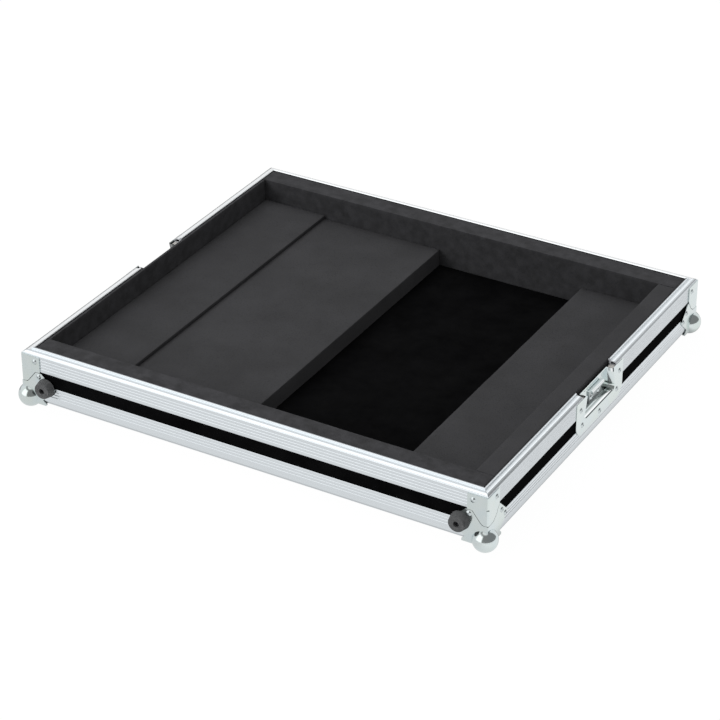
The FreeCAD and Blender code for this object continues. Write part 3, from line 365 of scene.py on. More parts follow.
@dataclass(frozen=True)
class ZincPlate:
    """Pressed steel with clear blue zinc plating, faintly tinted from place to place.

    Where there is painted shading, painted shade and painted highlights darken and brighten the
    plate at its folds by the share of the way over a reach along an axis, up to the half width from
    the middle of the latch. The draft lets the walls of a pressed dish lean outwards by so much per
    unit of depth, as a bump.
    """

    name: str = "blue_zinc_plate"
    cool: Colour = (0.67, 0.75, 0.77, 1.0)
    green: Colour = (0.69, 0.76, 0.73, 1.0)
    plain: Colour = (0.72, 0.78, 0.775, 1.0)
    # Painted shade and painted highlight colours for the folds of the latch.
    shade: Colour = (0.06, 0.07, 0.075, 1.0)
    painted_highlight: Colour = (0.97, 0.99, 1.0, 1.0)
    smooth: float = 0.09
    rough: float = 0.20
    drift_repeats: float = 42.0
    drift_span: Span = (0.40, 0.62)
    patch_repeats: float = 95.0
    patch_turn: float = 0.7
    patch_span: Span = (0.38, 0.62)
    plain_share: Span = (0.2, 0.9)
    wear_span: Span = (0.35, 0.65)
    grain_repeats: float = 2400.0
    grain_depth: float = 0.01 * MM
    grain_strength: float = 0.25
    dent_repeats: float = 160.0
    dent_depth: float = 0.10 * MM
    dent_strength: float = 0.15
    draft: float = 0.0
    axis: Axis = Axis.X
    reach: Span = RISE
    half_width: float = 32.8 * MM
    fold_end: float = 0.3 * MM
    painted_shading: Curve = ()
    painted_highlights: Curve = ()

    def colour(self, graph: Graph, patches: bpy.types.NodeSocket) -> bpy.types.NodeSocket:
        """Builds the tints of the plating.

        Args:
            graph: The material's graph.
            patches: The pattern of the plain patches.

        Returns:
            The socket with the colour.
        """
        drift = graph.noise(graph.even(self.drift_repeats), detail=2.0)
        tinted = graph.tint(graph.span(drift, self.drift_span), self.cool, self.green)
        return graph.tint(graph.span(patches, self.patch_span, self.plain_share), tinted, self.plain)

    def painted_fold_light(self, graph: Graph, colour: bpy.types.NodeSocket) -> bpy.types.NodeSocket:
        """Paints shade and highlights into a colour along the folds.

        Args:
            graph: The material's graph.
            colour: The flat plate's colour.

        Returns:
            The socket with the colour of the folded plate, with painted shade and painted highlights.
        """
        along = graph.span(graph.from_middle(self.axis), self.reach)
        end = (self.half_width, self.half_width + self.fold_end)
        within = graph.span(graph.from_middle(Axis.Y), end, FALL)
        # Painted highlight and painted shade masks along the folds, within the latch's width.
        painted_highlight = graph.product(graph.curve(along, self.painted_highlights), within)
        dark = graph.product(graph.math("SUBTRACT", 1.0, graph.curve(along, self.painted_shading)), within)
        return graph.tint(dark, graph.tint(painted_highlight, colour, self.painted_highlight), self.shade)

    def material(self) -> bpy.types.Material:
        """Builds the finish's material.

        Returns:
            The material.
        """
        material, graph = new_graph(self.name)
        patches = graph.noise(graph.even(self.patch_repeats, self.patch_turn), detail=3.0)
        grain = graph.noise(graph.even(self.grain_repeats), detail=2.0)
        dents = graph.noise(graph.even(self.dent_repeats), detail=1.0)
        colour = self.colour(graph, patches)
        pressed = graph.relief(dents, self.dent_depth, self.dent_strength)
        if self.draft:
            lean = graph.product(graph.from_middle(Axis.X), -self.draft)
            pressed = graph.relief(lean, 1.0, 1.0, pressed)
        # Painted shade and painted highlights along the folds.
        if self.painted_shading:
            colour = self.painted_fold_light(graph, colour)
        worn = graph.span(graph.blend(grain, patches, 0.5), self.wear_span, (self.smooth, self.rough))
        graph.surface({
            "Base Color": colour, "Metallic": 1.0, "Roughness": worn,
            "Normal": graph.relief(grain, self.grain_depth, self.grain_strength, pressed)})
        return material


@dataclass(frozen=True)
class RivetSteel:
    """Bare rolled steel of the rivet heads, or the blackened steel of the screws."""

    name: str
    tone: Colour = (0.60, 0.65, 0.66, 1.0)
    smooth: float = 0.08
    rough: float = 0.16
    mark_repeats: float = 700.0
    mark_span: Span = (0.35, 0.65)
    mark_depth: float = 0.03 * MM
    mark_strength: float = 0.2

    def material(self) -> bpy.types.Material:
        """Builds the finish's material.

        Returns:
            The material.
        """
        material, graph = new_graph(self.name)
        marks = graph.noise(graph.even(self.mark_repeats), detail=2.0)
        graph.surface({
            "Base Color": self.tone, "Metallic": 1.0,
            "Roughness": graph.span(marks, self.mark_span, (self.smooth, self.rough)),
            "Normal": graph.relief(marks, self.mark_depth, self.mark_strength)})
        return material


@dataclass(frozen=True)
class BlackLaminate:
    """Plywood faced with black plastic laminate of fine leather grain.

    The plywood shows between its two skins where the short walls are notched for the latch.
    """

    name: str = "black_laminate"
    deep: Colour = (0.0029, 0.0029, 0.0031, 1.0)
    dusty: Colour = (0.0056, 0.0056, 0.0059, 1.0)
    dust_span: Span = (0.35, 0.70)
    core: Colour = (0.52, 0.51, 0.49, 1.0)
    notch: float = 42.0 * MM
    skins: tuple[float, float] = (275.9 * MM, 282.3 * MM)
    mask_line: float = 0.05 * MM
    smooth: float = 0.42
    rough: float = 0.60
    gloss: float = 0.001
    wear_repeats: float = 30.0
    wear_span: Span = (0.30, 0.70)
    pebble_repeats: float = 700.0
    pebble_depth: float = 0.06 * MM
    pebble_strength: float = 0.4
    grain_repeats: float = 2600.0
    grain_depth: float = 0.01 * MM
    grain_strength: float = 0.3

    def bare(self, graph: Graph) -> bpy.types.NodeSocket:
        """Builds the mask of the bare plywood in the notches.

        Args:
            graph: The material's graph.

        Returns:
            The socket with 1 on the plywood and 0 on the laminate.
        """
        across, along = graph.from_middle(Axis.X), graph.from_middle(Axis.Y)
        past_inner, past_outer, past_notch = (
            (place, place + self.mask_line) for place in (*self.skins, self.notch))
        between = graph.product(graph.span(across, past_inner), graph.span(across, past_outer, FALL))
        return graph.product(between, graph.span(along, past_notch, FALL))

    def material(self) -> bpy.types.Material:
        """Builds the finish's material.

        Returns:
            The material.
        """
        material, graph = new_graph(self.name)
        pebbles = graph.cells(self.pebble_repeats)
        wear = graph.noise(graph.even(self.wear_repeats), detail=5.0, roughness=0.65)
        fine = graph.noise(graph.even(self.grain_repeats), detail=1.0)
        grained = graph.relief(pebbles, self.pebble_depth, self.pebble_strength)
        skin = graph.tint(graph.span(wear, self.dust_span), self.deep, self.dusty)
        graph.surface({
            "Base Color": graph.tint(self.bare(graph), skin, self.core),
            "Roughness": graph.span(wear, self.wear_span, (self.smooth, self.rough)),
            "Specular IOR Level": self.gloss,
            "Normal": graph.relief(fine, self.grain_depth, self.grain_strength, grained)})
        return material


@dataclass(frozen=True)
class ClosedCellFoam:
    """Dark grey closed-cell foam with a cut surface of fine open cells."""

    name: str
    light: Colour = (0.056, 0.056, 0.059, 1.0)
    dark: Colour = (0.044, 0.044, 0.046, 1.0)
    pit: Colour = (0.012, 0.012, 0.013, 1.0)
    smooth: float = 0.88
    rough: float = 1.0
    gloss: float = 0.12
    patch_repeats: float = 60.0
    contrast: float = 0.5
    shade_span: Span = (0.36, 0.64)
    lump_depth: float = 0.30 * MM
    lump_strength: float = 0.25
    rub_repeats: float = 14.0
    rub_turn: float = 0.3
    rub_span: Span = (0.3, 0.7)
    pore_repeats: float = 1100.0
    pore_span: Span = (0.55, 0.95)
    pit_share: Span = (0.0, 0.35)
    pore_depth: float = 0.25 * MM
    pore_strength: float = 0.35

    def material(self) -> bpy.types.Material:
        """Builds the finish's material.

        Returns:
            The material.
        """
        material, graph = new_graph(self.name)
        patches = graph.noise(graph.even(self.patch_repeats), detail=3.0)
        rub = graph.noise(graph.even(self.rub_repeats, self.rub_turn), detail=2.0)
        pores = graph.cells(self.pore_repeats)
        shade = graph.span(graph.blend(patches, rub, self.contrast), self.shade_span)
        pits = graph.span(pores, self.pore_span, self.pit_share)
        lumps = graph.relief(patches, self.lump_depth, self.lump_strength)
        graph.surface({
            "Base Color": graph.tint(pits, graph.tint(shade, self.dark, self.light), self.pit),
            "Roughness": graph.span(rub, self.rub_span, (self.smooth, self.rough)),
            "Specular IOR Level": self.gloss,
            "Normal": graph.relief(pores, self.pore_depth, self.pore_strength, lumps)})
        return material


@dataclass(frozen=True)
class MouldedRubber:
    """Hard grey-black rubber with a faint bloom and a moulded grain."""

    name: str = "moulded_rubber"
    black: Colour = (0.076, 0.078, 0.080, 1.0)
    bloom: Colour = (0.120, 0.122, 0.124, 1.0)
    bloom_span: Span = (0.35, 0.70)
    smooth: float = 0.55
    rough: float = 0.75
    gloss: float = 0.35
    cloud_repeats: float = 180.0
    cloud_span: Span = (0.3, 0.7)
    grain_repeats: float = 2200.0
    grain_depth: float = 0.03 * MM
    grain_strength: float = 0.3

    def material(self) -> bpy.types.Material:
        """Builds the finish's material.

        Returns:
            The material.
        """
        material, graph = new_graph(self.name)
        cloud = graph.noise(graph.even(self.cloud_repeats), detail=4.0, roughness=0.6)
        grain = graph.noise(graph.even(self.grain_repeats), detail=2.0)
        graph.surface({
            "Base Color": graph.tint(graph.span(cloud, self.bloom_span), self.black, self.bloom),
            "Roughness": graph.span(cloud, self.cloud_span, (self.smooth, self.rough)),
            "Specular IOR Level": self.gloss,
            "Normal": graph.relief(grain, self.grain_depth, self.grain_strength)})
        return material


def only(piece: bpy.types.Object) -> None:
    """Selects one object alone and makes it active.

    Args:
        piece: The object.
    """
    bpy.ops.object.select_all(action="DESELECT")
    piece.select_set(True)
    bpy.context.view_layer.objects.active = piece


def box_between(name: str, low: Vector, high: Vector) -> bpy.types.Object:
    """Adds a box at its place, with the object at the origin.

    Args:
        name: The piece's name.
        low: The lowest corner.
        high: The highest corner.

    Returns:
        The new object.
    """
    bpy.ops.object.select_all(action="DESELECT")
    bpy.ops.mesh.primitive_cube_add(size=1.0, location=(low + high) / 2, scale=high - low)
    piece = bpy.context.object
    piece.name = name
    piece.data.name = name
    bpy.ops.object.transform_apply(location=True, rotation=True, scale=True)
    return piece


def pick_faces(piece: bpy.types.Object, test: Callable[[Vector, Vector], bool]) -> None:
    """Selects, in edit mode, the faces that pass a test.

    Args:
        piece: The object in edit mode.
        test: The test of a face's centre and normal.
    """
    bpy.ops.mesh.select_mode(type="FACE")
    bpy.ops.mesh.select_all(action="DESELECT")
    mesh = bmesh.from_edit_mesh(piece.data)
    for face in mesh.faces:
        face.select = test(face.calc_center_median(), face.normal)
    mesh.select_flush_mode()
    bmesh.update_edit_mesh(piece.data)


def pick_edges(piece: bpy.types.Object, test: Callable[[bmesh.types.BMEdge], bool]) -> int:
    """Selects, in edit mode, the edges that pass a test.

    Args:
        piece: The object in edit mode.
        test: The test of an edge.

    Returns:
        The number of edges selected.
    """
    bpy.ops.mesh.select_mode(type="EDGE")
    bpy.ops.mesh.select_all(action="DESELECT")
    mesh = bmesh.from_edit_mesh(piece.data)
    found = [edge for edge in mesh.edges if test(edge)]
    for edge in found:
        edge.select = True
    bmesh.update_edit_mesh(piece.data)
    return len(found)


def slice_at(point: float, axis: Axis) -> None:
    """Cuts edges across the whole piece in edit mode, square to an axis."""
    bpy.ops.mesh.select_all(action="SELECT")
    bpy.ops.mesh.bisect(plane_co=axis.vector() * point, plane_no=axis.vector())


def push(direction: Vector) -> None:
    """Extrudes the selected faces in edit mode."""
    bpy.ops.mesh.extrude_region_move(TRANSFORM_OT_translate={"value": direction})


def runs_along(edge: bmesh.types.BMEdge, axis: Axis, share: float = 0.999) -> bool:
    """Tells whether an edge lies along an axis, by at least a share of its length."""
    return abs((edge.verts[1].co - edge.verts[0].co)[axis.value]) > share * edge.calc_length()


def grid(piece: bpy.types.Object, cell: float) -> None:
    """Divides every long edge in edit mode to about one cell's length.

    Args:
        piece: The object in edit mode.
        cell: The length of a cell.
    """
    for axis in Axis:
        counts: list[int] = []
        for edge in bmesh.from_edit_mesh(piece.data).edges:
            cuts = round(edge.calc_length() / cell) - 1
            if cuts > 0 and cuts not in counts and runs_along(edge, axis):
                counts.append(cuts)
        for cuts in counts:
            low, high = (cuts + 0.5) * cell, (cuts + 1.5) * cell

            def fits(edge: bmesh.types.BMEdge) -> bool:
                return low <= edge.calc_length() < high and runs_along(edge, axis)

            if pick_edges(piece, fits):
                bpy.ops.mesh.subdivide(number_cuts=cuts)


@dataclass
class FoamPiece:
    """A piece of cut foam that stands where its plain solid is."""

    node: str
    finish: ClosedCellFoam
    edge_round: float = 0.9 * MM
    cell: float = 7.0 * MM
    wave: float = 0.7 * MM
    wave_length: float = 55.0 * MM
    sharp_edge: float = 1.0
    smooth_edge: float = math.radians(35)
    fill: float = 0.95

    def shape(self, name: str, low: Vector, high: Vector) -> bpy.types.Object:
        """Makes the plain form of the piece between two corners and returns it."""
        return box_between(name, low, high)

    def exposed(self, normal: Vector) -> bool:
        """Tells by its normal whether a face is one of those that show."""
        return normal.z > FACING

    def build(self) -> bpy.types.Object:
        """Models the piece, dresses it and puts it in its node's place.

        Returns:
            The finished piece.
        """
        low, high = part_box(self.node)
        piece = self.shape("%s_cut" % self.node, low, high)
        self.round_edges(piece)
        self.soften(piece)
        piece.data.materials.append(self.finish.material())
        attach(piece, BODY)
        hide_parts(self.node)
        LOG.info("%s: %d faces", piece.name, len(piece.data.polygons))
        return piece

    def round_edges(self, piece: bpy.types.Object) -> None:
        """Rounds the cut edges that show and divides the faces.

        Args:
            piece: The plain form.
        """
        only(piece)
        bpy.ops.object.mode_set(mode="EDIT")

        def shows(edge: bmesh.types.BMEdge) -> bool:
            if len(edge.link_faces) != 2 or not edge.is_convex:
                return False
            if edge.calc_face_angle() < self.sharp_edge:
                return False
            return any(self.exposed(face.normal) for face in edge.link_faces)

        if pick_edges(piece, shows):
            bpy.ops.mesh.bevel(offset=self.edge_round, segments=3, profile=0.5)
        grid(piece, self.cell)
        bpy.ops.mesh.select_all(action="SELECT")
        bpy.ops.mesh.normals_make_consistent(inside=False)
        bpy.ops.object.mode_set(mode="OBJECT")

    def soften(self, piece: bpy.types.Object) -> None:
        """Lets the faces that show sink unevenly, as a knife leaves foam.

        Args:
            piece: The piece with its edges rounded.
        """
        group_name = "exposed"
        group = piece.vertex_groups.new(name=group_name)
        for face in piece.data.polygons:
            if self.exposed(face.normal):
                group.add(list(face.vertices), 1.0, "REPLACE")
        only(piece)
        pattern = bpy.data.textures.new("%s_wave" % self.node, "CLOUDS")
        pattern.noise_scale = self.wave_length
        pattern.noise_depth = 2
        finer = piece.modifiers.new("finer", "SUBSURF")
        finer.subdivision_type = "SIMPLE"
        finer.levels = 1
        finer.render_levels = 1
        bpy.ops.object.modifier_apply(modifier=finer.name)
        waves = piece.modifiers.new("waves", "DISPLACE")
        waves.texture = pattern
        waves.texture_coords = "LOCAL"
        waves.strength = self.wave
        waves.mid_level = 1.0
        waves.vertex_group = group_name
        bpy.ops.object.modifier_apply(modifier=waves.name)
        bpy.ops.object.shade_smooth_by_angle(angle=self.smooth_edge)


@dataclass
class FoamStrip(FoamPiece):
    """A strip that stands against a wall, thicker where the wall is set back between the profiles.

    Its foot steps over the shelf of the bottom edge, and a strip that passes the shelves of two
    more walls steps over those at its ends as well. The lining stands on a block, without a step.
    """

    toward_wall: tuple[Axis, float] = (Axis.Y, -1.0)
    swell: float = 1.2 * MM
    under_rim: float = 18.4 * MM
    over_leg: float = 9.3 * MM
    shelf: float = 1.2 * MM
    shelf_reach: float = 9.2 * MM
    end_reach: float = 6.8 * MM
    stands_on_floor: bool = True
    passes_shelves: bool = False

    def exposed(self, normal: Vector) -> bool:
        """Tells by its normal whether a face is the top or faces the middle of the tray."""
        axis, sign = self.toward_wall
        return normal.z > FACING or normal[axis.value] * sign < -FACING

    def shape(self, name: str, low: Vector, high: Vector) -> bpy.types.Object:
        """Makes the strip with its steps round the profiles.

        Args:
            name: The piece's name.
            low: The lowest corner of its solid.
            high: The highest corner of its solid.

        Returns:
            The plain strip.
        """
        axis, sign = self.toward_wall
        run = Axis.X if axis is Axis.Y else Axis.Y
        outward = axis.vector(sign)
        top, foot = high.z, low.z
        face = (high if sign > 0 else low)[axis.value] - sign * 2 * self.swell
        low, high = low.copy(), high.copy()
        (high if sign > 0 else low)[axis.value] = face
        if self.stands_on_floor:
            low.z = foot + self.shelf
        piece = box_between(name, low, high)
        only(piece)
        bpy.ops.object.mode_set(mode="EDIT")
        leg_top = foot + self.over_leg - (0.0 if self.stands_on_floor else self.shelf)
        slice_at(top - self.under_rim, Axis.Z)
        slice_at(leg_top, Axis.Z)

        def behind(floor: float, ceiling: float) -> Callable[[Vector, Vector], bool]:
            return lambda place, normal: normal.dot(outward) > SQUARE and floor < place.z < ceiling

        pick_faces(piece, behind(0.0, top - self.under_rim))
        push(outward * self.swell)
        pick_faces(piece, behind(leg_top, top - self.under_rim))
        push(outward * self.swell)
        if self.stands_on_floor:
            step = face + sign * self.swell - sign * (self.shelf_reach - self.swell)
            slice_at(step, axis)
            ends = [low[run.value] + self.end_reach, high[run.value] - self.end_reach]
            if self.passes_shelves:
                for end in ends:
                    slice_at(end, run)

            def sole(place: Vector, normal: Vector) -> bool:
                low_down = normal.z < -SQUARE and place.z < leg_top
                clear = not self.passes_shelves or ends[0] < place[run.value] < ends[1]
                return low_down and clear and (place[axis.value] - step) * sign < 0

            pick_faces(piece, sole)
            push(Axis.Z.vector(-self.shelf))
        bpy.ops.object.mode_set(mode="OBJECT")
        return piece


@dataclass
class FoamBlock(FoamPiece):
    """A block that lies on the floor, with a free edge along the cable recess."""

    free_side: float = 1.0
    shelf_reach: float = 0.0
    shelf: float = 1.2 * MM

    def exposed(self, normal: Vector) -> bool:
        """Tells by its normal whether a face is the top or the free side."""
        return normal.z > FACING or normal.x * self.free_side > FACING

    def shape(self, name: str, low: Vector, high: Vector) -> bpy.types.Object:
        """Makes the block, stepped over the profile's shelf where it reaches the wall.

        Args:
            name: The piece's name.
            low: The lowest corner of its solid.
            high: The highest corner of its solid.

        Returns:
            The plain block.
        """
        if not self.shelf_reach:
            return box_between(name, low, high)
        raised = low.copy()
        raised.z += self.shelf
        piece = box_between(name, raised, high)
        only(piece)
        bpy.ops.object.mode_set(mode="EDIT")
        step = low.x + self.shelf_reach
        slice_at(step, Axis.X)
        pick_faces(piece, lambda place, normal: normal.z < -SQUARE and place.x > step)
        push(Axis.Z.vector(-self.shelf))
        bpy.ops.object.mode_set(mode="OBJECT")
        return piece


@dataclass
class FoamLining:
    """All the foam that the console lies in."""

    flat: ClosedCellFoam = ClosedCellFoam("foam_blocks", patch_repeats=35.0, contrast=0.3)
    mottled: ClosedCellFoam = ClosedCellFoam("foam_strips", patch_repeats=90.0, contrast=0.75,
                                             light=(0.060, 0.060, 0.064, 1.0),
                                             dark=(0.040, 0.040, 0.042, 1.0))
    block_shelf_reach: float = 3.1 * MM

    def build(self) -> list[bpy.types.Object]:
        """Builds every strip and block.

        Returns:
            The finished pieces.
        """
        pieces = [
            FoamStrip("back_foam_strip", self.mottled, toward_wall=(Axis.Y, 1.0), passes_shelves=True),
            FoamStrip("front_foam_strip", self.mottled, toward_wall=(Axis.Y, -1.0), passes_shelves=True),
            FoamStrip("right_foam_strip", self.flat, toward_wall=(Axis.X, 1.0)),
            FoamStrip("left_foam_lining", self.mottled, toward_wall=(Axis.X, -1.0),
                      stands_on_floor=False),
            FoamBlock("left_foam_block", self.flat, shelf_reach=self.block_shelf_reach),
            FoamBlock("left_foam_riser", self.flat),
            FoamBlock("right_foam_block", self.flat, free_side=-1.0),
        ]
        return [piece.build() for piece in pieces]


@dataclass
class Hardware:
    """The solids that keep their form and get their finishes: profiles, panels, fittings.

    The curves of the folds, rims and angles are painted shade, painted highlights and painted
    reflection bands, and run over the reach that their finish measures. The far rims are the back
    and left ones, of which the photograph shows little but a bright edge; their paler copy of the
    aluminium is painted light.
    """

    zinc: ZincPlate = ZincPlate()
    # Painted shade and painted highlights along the folds of the latch dish.
    dish: ZincPlate = ZincPlate(
        "drawn_zinc_plate", draft=0.5, reach=(276.9 * MM, 284.9 * MM),
        painted_shading=((0.0, 1.0), (0.12, 0.85), (0.24, 0.45), (0.34, 0.60), (0.46, 0.85), (0.60, 0.95),
               (0.70, 1.0), (0.79, 1.0), (0.83, 0.08), (0.965, 0.04), (0.98, 1.0), (1.0, 1.0)),
        painted_highlights=((0.0, 0.0), (0.44, 0.0), (0.56, 0.6), (0.64, 1.0), (0.79, 1.0), (0.84, 0.0), (1.0, 0.0)))
    # Painted shade and painted highlights along the lip of the latch strike.
    strike: ZincPlate = ZincPlate(
        "strike_zinc_plate", axis=Axis.Z, reach=(44.45 * MM, 61.65 * MM),
        painted_shading=((0.0, 0.30), (0.2, 0.45), (0.4, 0.32), (0.6, 0.42), (0.80, 0.50), (0.88, 0.55),
               (0.92, 1.0), (0.97, 1.0), (1.0, 0.90)),
        painted_highlights=((0.0, 0.0), (0.88, 0.0), (0.92, 1.0), (0.97, 1.0), (0.99, 0.3), (1.0, 0.1)))
    rivets: RivetSteel = RivetSteel("rivet_steel")
    screws: RivetSteel = RivetSteel("black_screws", tone=(0.09, 0.09, 0.10, 1.0), smooth=0.25, rough=0.40)
    laminate: BlackLaminate = BlackLaminate()
    rubber: MouldedRubber = MouldedRubber()
    far_swell: float = 0.6 * MM
    # Painted light: the far rims take a paler copy of the aluminium's colours.
    far_painted_light_pale: Colour = (0.955, 0.975, 0.99, 1.0)
    far_painted_light_dull: Colour = (0.935, 0.955, 0.97, 1.0)
    # The curves below are painted shade and painted reflection bands across each rim and angle: the share
    # of the bright colour left over the reach.
    far_rim: Curve = (
        (0.0, 1.0), (0.90, 0.97), (0.935, 0.80), (0.985, 0.80), (1.0, 0.91))
    front_rim: Curve = (
        (0.0, 0.24), (0.09, 0.34), (0.146, 0.52), (0.20, 0.82), (0.26, 0.95), (0.32, 0.80),
        (0.38, 0.80), (0.54, 0.83), (0.66, 0.90), (0.74, 0.97), (0.90, 0.97), (0.935, 0.80),
        (0.985, 0.80), (1.0, 0.93))
    right_rim: Curve = (
        (0.0, 0.0), (0.09, 0.10), (0.146, 0.56), (0.20, 1.0), (0.26, 1.0), (0.32, 0.82),
        (0.38, 0.88), (0.50, 1.0), (0.66, 1.0), (0.74, 0.98), (0.80, 0.78), (0.845, 0.50),
        (0.90, 0.47), (0.925, 0.60), (0.945, 0.86), (0.985, 0.86), (1.0, 0.70))
    long_angle: Curve = ((0.0, 0.92), (0.90, 0.92), (0.935, 0.70), (0.985, 0.72), (1.0, 0.94))
    short_angle: Curve = ((0.0, 0.86), (0.92, 0.86), (0.94, 1.0), (0.985, 1.0), (1.0, 0.88))

    def extrusions(self) -> list[Extrusion]:
        """Lists the finishes of the aluminium profiles.

        Returns:
            One for the rim and one for the bottom edge of each side.
        """
        far = {"swell": self.far_swell, "pale": self.far_painted_light_pale, "dull": self.far_painted_light_dull}
        return [
            Extrusion("front", Axis.X, self.front_rim, rim=True),
            Extrusion("back", Axis.X, self.far_rim, rim=True, **far),
            Extrusion("right", Axis.Y, self.right_rim, rim=True),
            Extrusion("left", Axis.Y, self.far_rim, rim=True, **far),
            Extrusion("front", Axis.X, self.long_angle),
            Extrusion("back", Axis.X, self.long_angle),
            Extrusion("right", Axis.Y, self.short_angle),
            Extrusion("left", Axis.Y, self.short_angle)]

    def finish_of(self, node: str) -> str:
        """Names the kind of finish that a node takes.

        Args:
            node: The node's name.

        Returns:
            One of the keys that dress() makes materials for.
        """
        if node.endswith("_panel"):
            return "laminate"
        if node.endswith("_rubber_foot"):
            return "rubber"
        if node.endswith("_rivets"):
            return "rivets"
        if node.endswith("_screws"):
            return "screws"
        if node.endswith(("_latch_dish", "_latch_strike")):
            return node.rsplit("_", 1)[1]
        if "_rim" in node or node.endswith("_bottom_edge"):
            return "%s_%s" % (node.split("_", 1)[0], "rim" if "_rim" in node else "angle")
        return "zinc"

    def dress(self) -> None:
        """Gives every node that stays its material."""
        fittings = {
            "laminate": self.laminate, "rubber": self.rubber, "zinc": self.zinc, "dish": self.dish,
            "strike": self.strike, "rivets": self.rivets, "screws": self.screws}
        profiles = {profile.kind: profile for profile in self.extrusions()}
        materials = {kind: finish.material() for kind, finish in {**fittings, **profiles}.items()}
        for name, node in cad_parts.items():
            if "foam" in name:
                continue
            kind = self.finish_of(name)
            for slot in node.material_slots:
                slot.link = "OBJECT"
                slot.material = materials[kind]
            LOG.info("%s: %s", name, kind)


@dataclass(frozen=True)
class Card:
    """A part of the studio's walls that metal reflects, between two bearings and two heights.

    Bearings run in degrees from +X towards +Y, heights in degrees above the horizon, and the card
    fades out over the soft angle on either side of its ends.
    """

    bearings: Span
    heights: Span
    level: float
    soft: float = 3.0

    def share(self, graph: Graph, bearing: bpy.types.NodeSocket,
              height: bpy.types.NodeSocket) -> bpy.types.NodeSocket:
        """Builds the share that the card takes of a direction.

        Args:
            graph: The world's graph.
            bearing: Bearing of the direction.
            height: Its height above the horizon.

        Returns:
            The socket with 1 on the card and 0 off it.
        """
        share = None
        for value, (low, high) in ((bearing, self.bearings), (height, self.heights)):
            above = graph.span(value, (low - self.soft, low + self.soft))
            below = graph.span(value, (high - self.soft, high + self.soft), FALL)
            within = graph.product(above, below)
            share = within if share is None else graph.product(share, within)
        return share


@dataclass(frozen=True)
class Lamp:
    """A soft lamp that faces the case and that no metal mirrors.

    Its size is its width and height, its power is in watts.
    """

    name: str
    place: tuple[float, float, float]
    size: tuple[float, float]
    power: float

    def hang(self) -> None:
        """Hangs the lamp in its place."""
        data = bpy.data.lights.new(self.name, "AREA")
        data.shape = "RECTANGLE"
        data.size, data.size_y = self.size
        data.energy = self.power
        lamp = bpy.data.objects.new(self.name, data)
        lamp.location = self.place
        lamp.rotation_euler = (-Vector(self.place)).to_track_quat("-Z", "Y").to_euler()
        lamp.visible_glossy = False
        bpy.context.collection.objects.link(lamp)


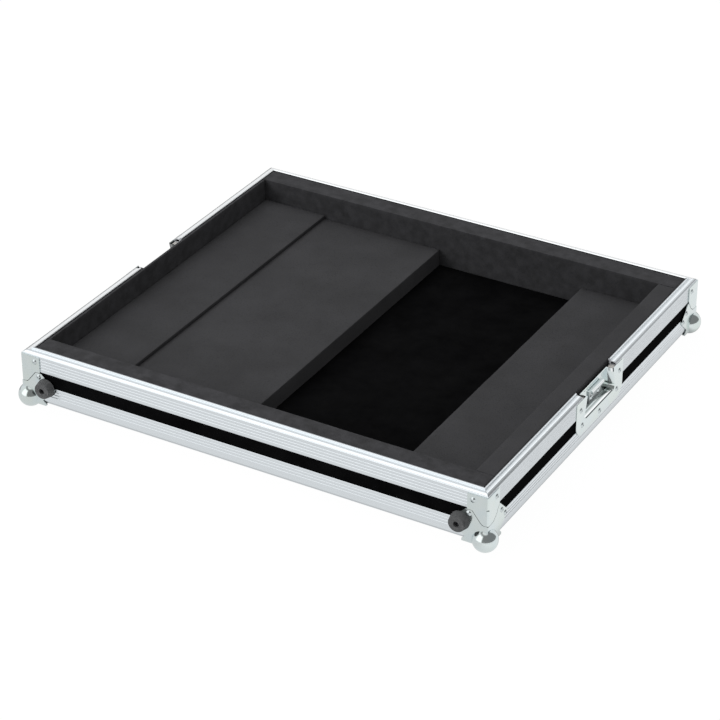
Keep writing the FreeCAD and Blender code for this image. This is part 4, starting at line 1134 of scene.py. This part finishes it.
@dataclass
class Studio:
    """The white studio: camera, floor, surroundings and soft lamps.

    The camera sees the floor at its seen level. Metal mirrors it at the left level as far as the
    change in X, and at the right level beyond, less a shade beside the right wall of the case:
    painted light and a painted shadow in its reflection.
    """

    stand: tuple[float, float, float] = (1.23084, -2.15542, 1.48743)
    look: tuple[float, float, float] = (-0.428634, 0.744603, -0.511702)
    lens: float = 129.14
    sensor: float = 36.0
    sight: float = 100.0
    floor_size: float = 30.0
    floor_paint: float = 0.86
    floor_glow: float = 0.96
    floor_seen: float = 1.02
    floor_levels: Span = (0.78, 0.96)
    floor_change: Span = (0.26, 0.31)
    shade_depth: float = 0.5
    shade_end: Span = (0.284, 0.300)
    shade_start: Span = (-0.245, -0.225)
    ambient: float = 0.36
    walls: float = 0.88
    cards: tuple[Card, ...] = (
        Card(bearings=(-92.0, 53.0), heights=(-90.0, 68.0), level=0.23),
        Card(bearings=(-200.0, -90.0), heights=(54.0, 68.0), level=0.25),
        Card(bearings=(-148.0, -98.0), heights=(-12.0, 50.0), level=1.4),
        Card(bearings=(74.0, 108.0), heights=(32.0, 50.0), level=1.15),
        Card(bearings=(60.0, 200.0), heights=(62.0, 100.0), level=1.5, soft=6.0))
    lamps: tuple[Lamp, ...] = (
        Lamp("top_light", place=(-0.7, 0.5, 2.6), size=(2.4, 2.4), power=40.0),
        Lamp("front_light", place=(-1.5, -2.3, 1.3), size=(1.6, 1.2), power=32.0),
        Lamp("right_light", place=(2.6, -0.9, 1.2), size=(1.5, 1.5), power=8.0))

    def camera(self) -> None:
        """Stands the camera where the photograph was taken."""
        data = bpy.data.cameras.new("camera")
        data.lens = self.lens
        data.sensor_width = self.sensor
        data.clip_end = self.sight
        camera = bpy.data.objects.new("camera", data)
        camera.location = self.stand
        camera.rotation_euler = Vector(self.look).to_track_quat("-Z", "Y").to_euler()
        bpy.context.collection.objects.link(camera)
        bpy.context.scene.camera = camera

    def floor(self) -> None:
        """Lays the floor, white to the eye, which still takes the shadow; in reflections it glows with
        painted light and a painted shadow.
        """
        bpy.ops.object.select_all(action="DESELECT")
        bpy.ops.mesh.primitive_plane_add(size=self.floor_size)
        floor = bpy.context.object
        floor.name = "floor"
        material, graph = new_graph("white_floor")
        path = graph.add("ShaderNodeLightPath").outputs
        place = graph.add("ShaderNodeTexCoord").outputs["Object"]
        sides = graph.add("ShaderNodeSeparateXYZ", {0: place}).outputs
        mirrored = graph.math("MAXIMUM", path["Is Glossy Ray"], path["Is Transmission Ray"])
        share = graph.product(graph.math("ADD", path["Is Camera Ray"], mirrored), self.floor_glow)
        # Painted light and a painted shadow in the floor that metal mirrors: darker to the left, and
        # shaded beside the right wall.
        lit = graph.span(sides["X"], self.floor_change, self.floor_levels)
        under = graph.span(sides["X"], self.shade_end, (self.shade_depth, 0.0))
        shaded = graph.product(under, graph.span(sides["Y"], self.shade_start))
        lit = graph.product(lit, graph.math("SUBTRACT", 1.0, shaded))
        level = graph.tint(path["Is Camera Ray"], lit, grey(self.floor_seen))
        paint = graph.add("ShaderNodeBsdfDiffuse", {"Color": grey(self.floor_paint)})
        glow = graph.add("ShaderNodeEmission", {"Color": level, "Strength": 1.0})
        mixed = graph.add("ShaderNodeMixShader", {0: share, 1: paint.outputs[0], 2: glow.outputs[0]})
        graph.add("ShaderNodeOutputMaterial", {"Surface": mixed.outputs[0]})
        floor.data.materials.append(material)

    def surroundings(self) -> None:
        """Makes the walls of the studio white to the eye, and hangs the cards that metal reflects."""
        world = bpy.data.worlds.new("studio")
        bpy.context.scene.world = world
        world.use_nodes = True
        graph = Graph(world.node_tree)
        path = graph.add("ShaderNodeLightPath").outputs
        way = graph.add("ShaderNodeTexCoord").outputs["Generated"]
        x, y, z = graph.add("ShaderNodeSeparateXYZ", {0: way}).outputs
        bearing = graph.math("DEGREES", graph.math("ARCTAN2", y, x))
        height = graph.math("DEGREES", graph.math("ARCSINE", z))
        walls = grey(self.walls)
        for card in self.cards:
            walls = graph.tint(card.share(graph, bearing, height), walls, grey(card.level))
        mirrored = graph.math("MAXIMUM", path["Is Glossy Ray"], path["Is Transmission Ray"])
        level = graph.tint(mirrored, grey(self.ambient), walls)
        white = graph.tint(path["Is Camera Ray"], level, grey(1.0))
        light = graph.add("ShaderNodeBackground", {"Color": white, "Strength": 1.0})
        graph.add("ShaderNodeOutputWorld", {"Surface": light.outputs[0]})

    def build(self) -> None:
        """Sets up the whole studio."""
        self.camera()
        self.floor()
        self.surroundings()
        for lamp in self.lamps:
            lamp.hang()
        bpy.context.scene.view_settings.view_transform = "Standard"
        LOG.info("studio: camera, floor, surroundings, %d lamps", len(self.lamps))


def main() -> None:
    """Builds the dressed case in its studio."""
    logging.basicConfig(level=logging.INFO, format="%(name)s: %(message)s")
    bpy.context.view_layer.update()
    Studio().build()
    Hardware().dress()
    pieces = FoamLining().build()
    LOG.info("foam: %d pieces", len(pieces))


if __name__ == "__main__":
    main()
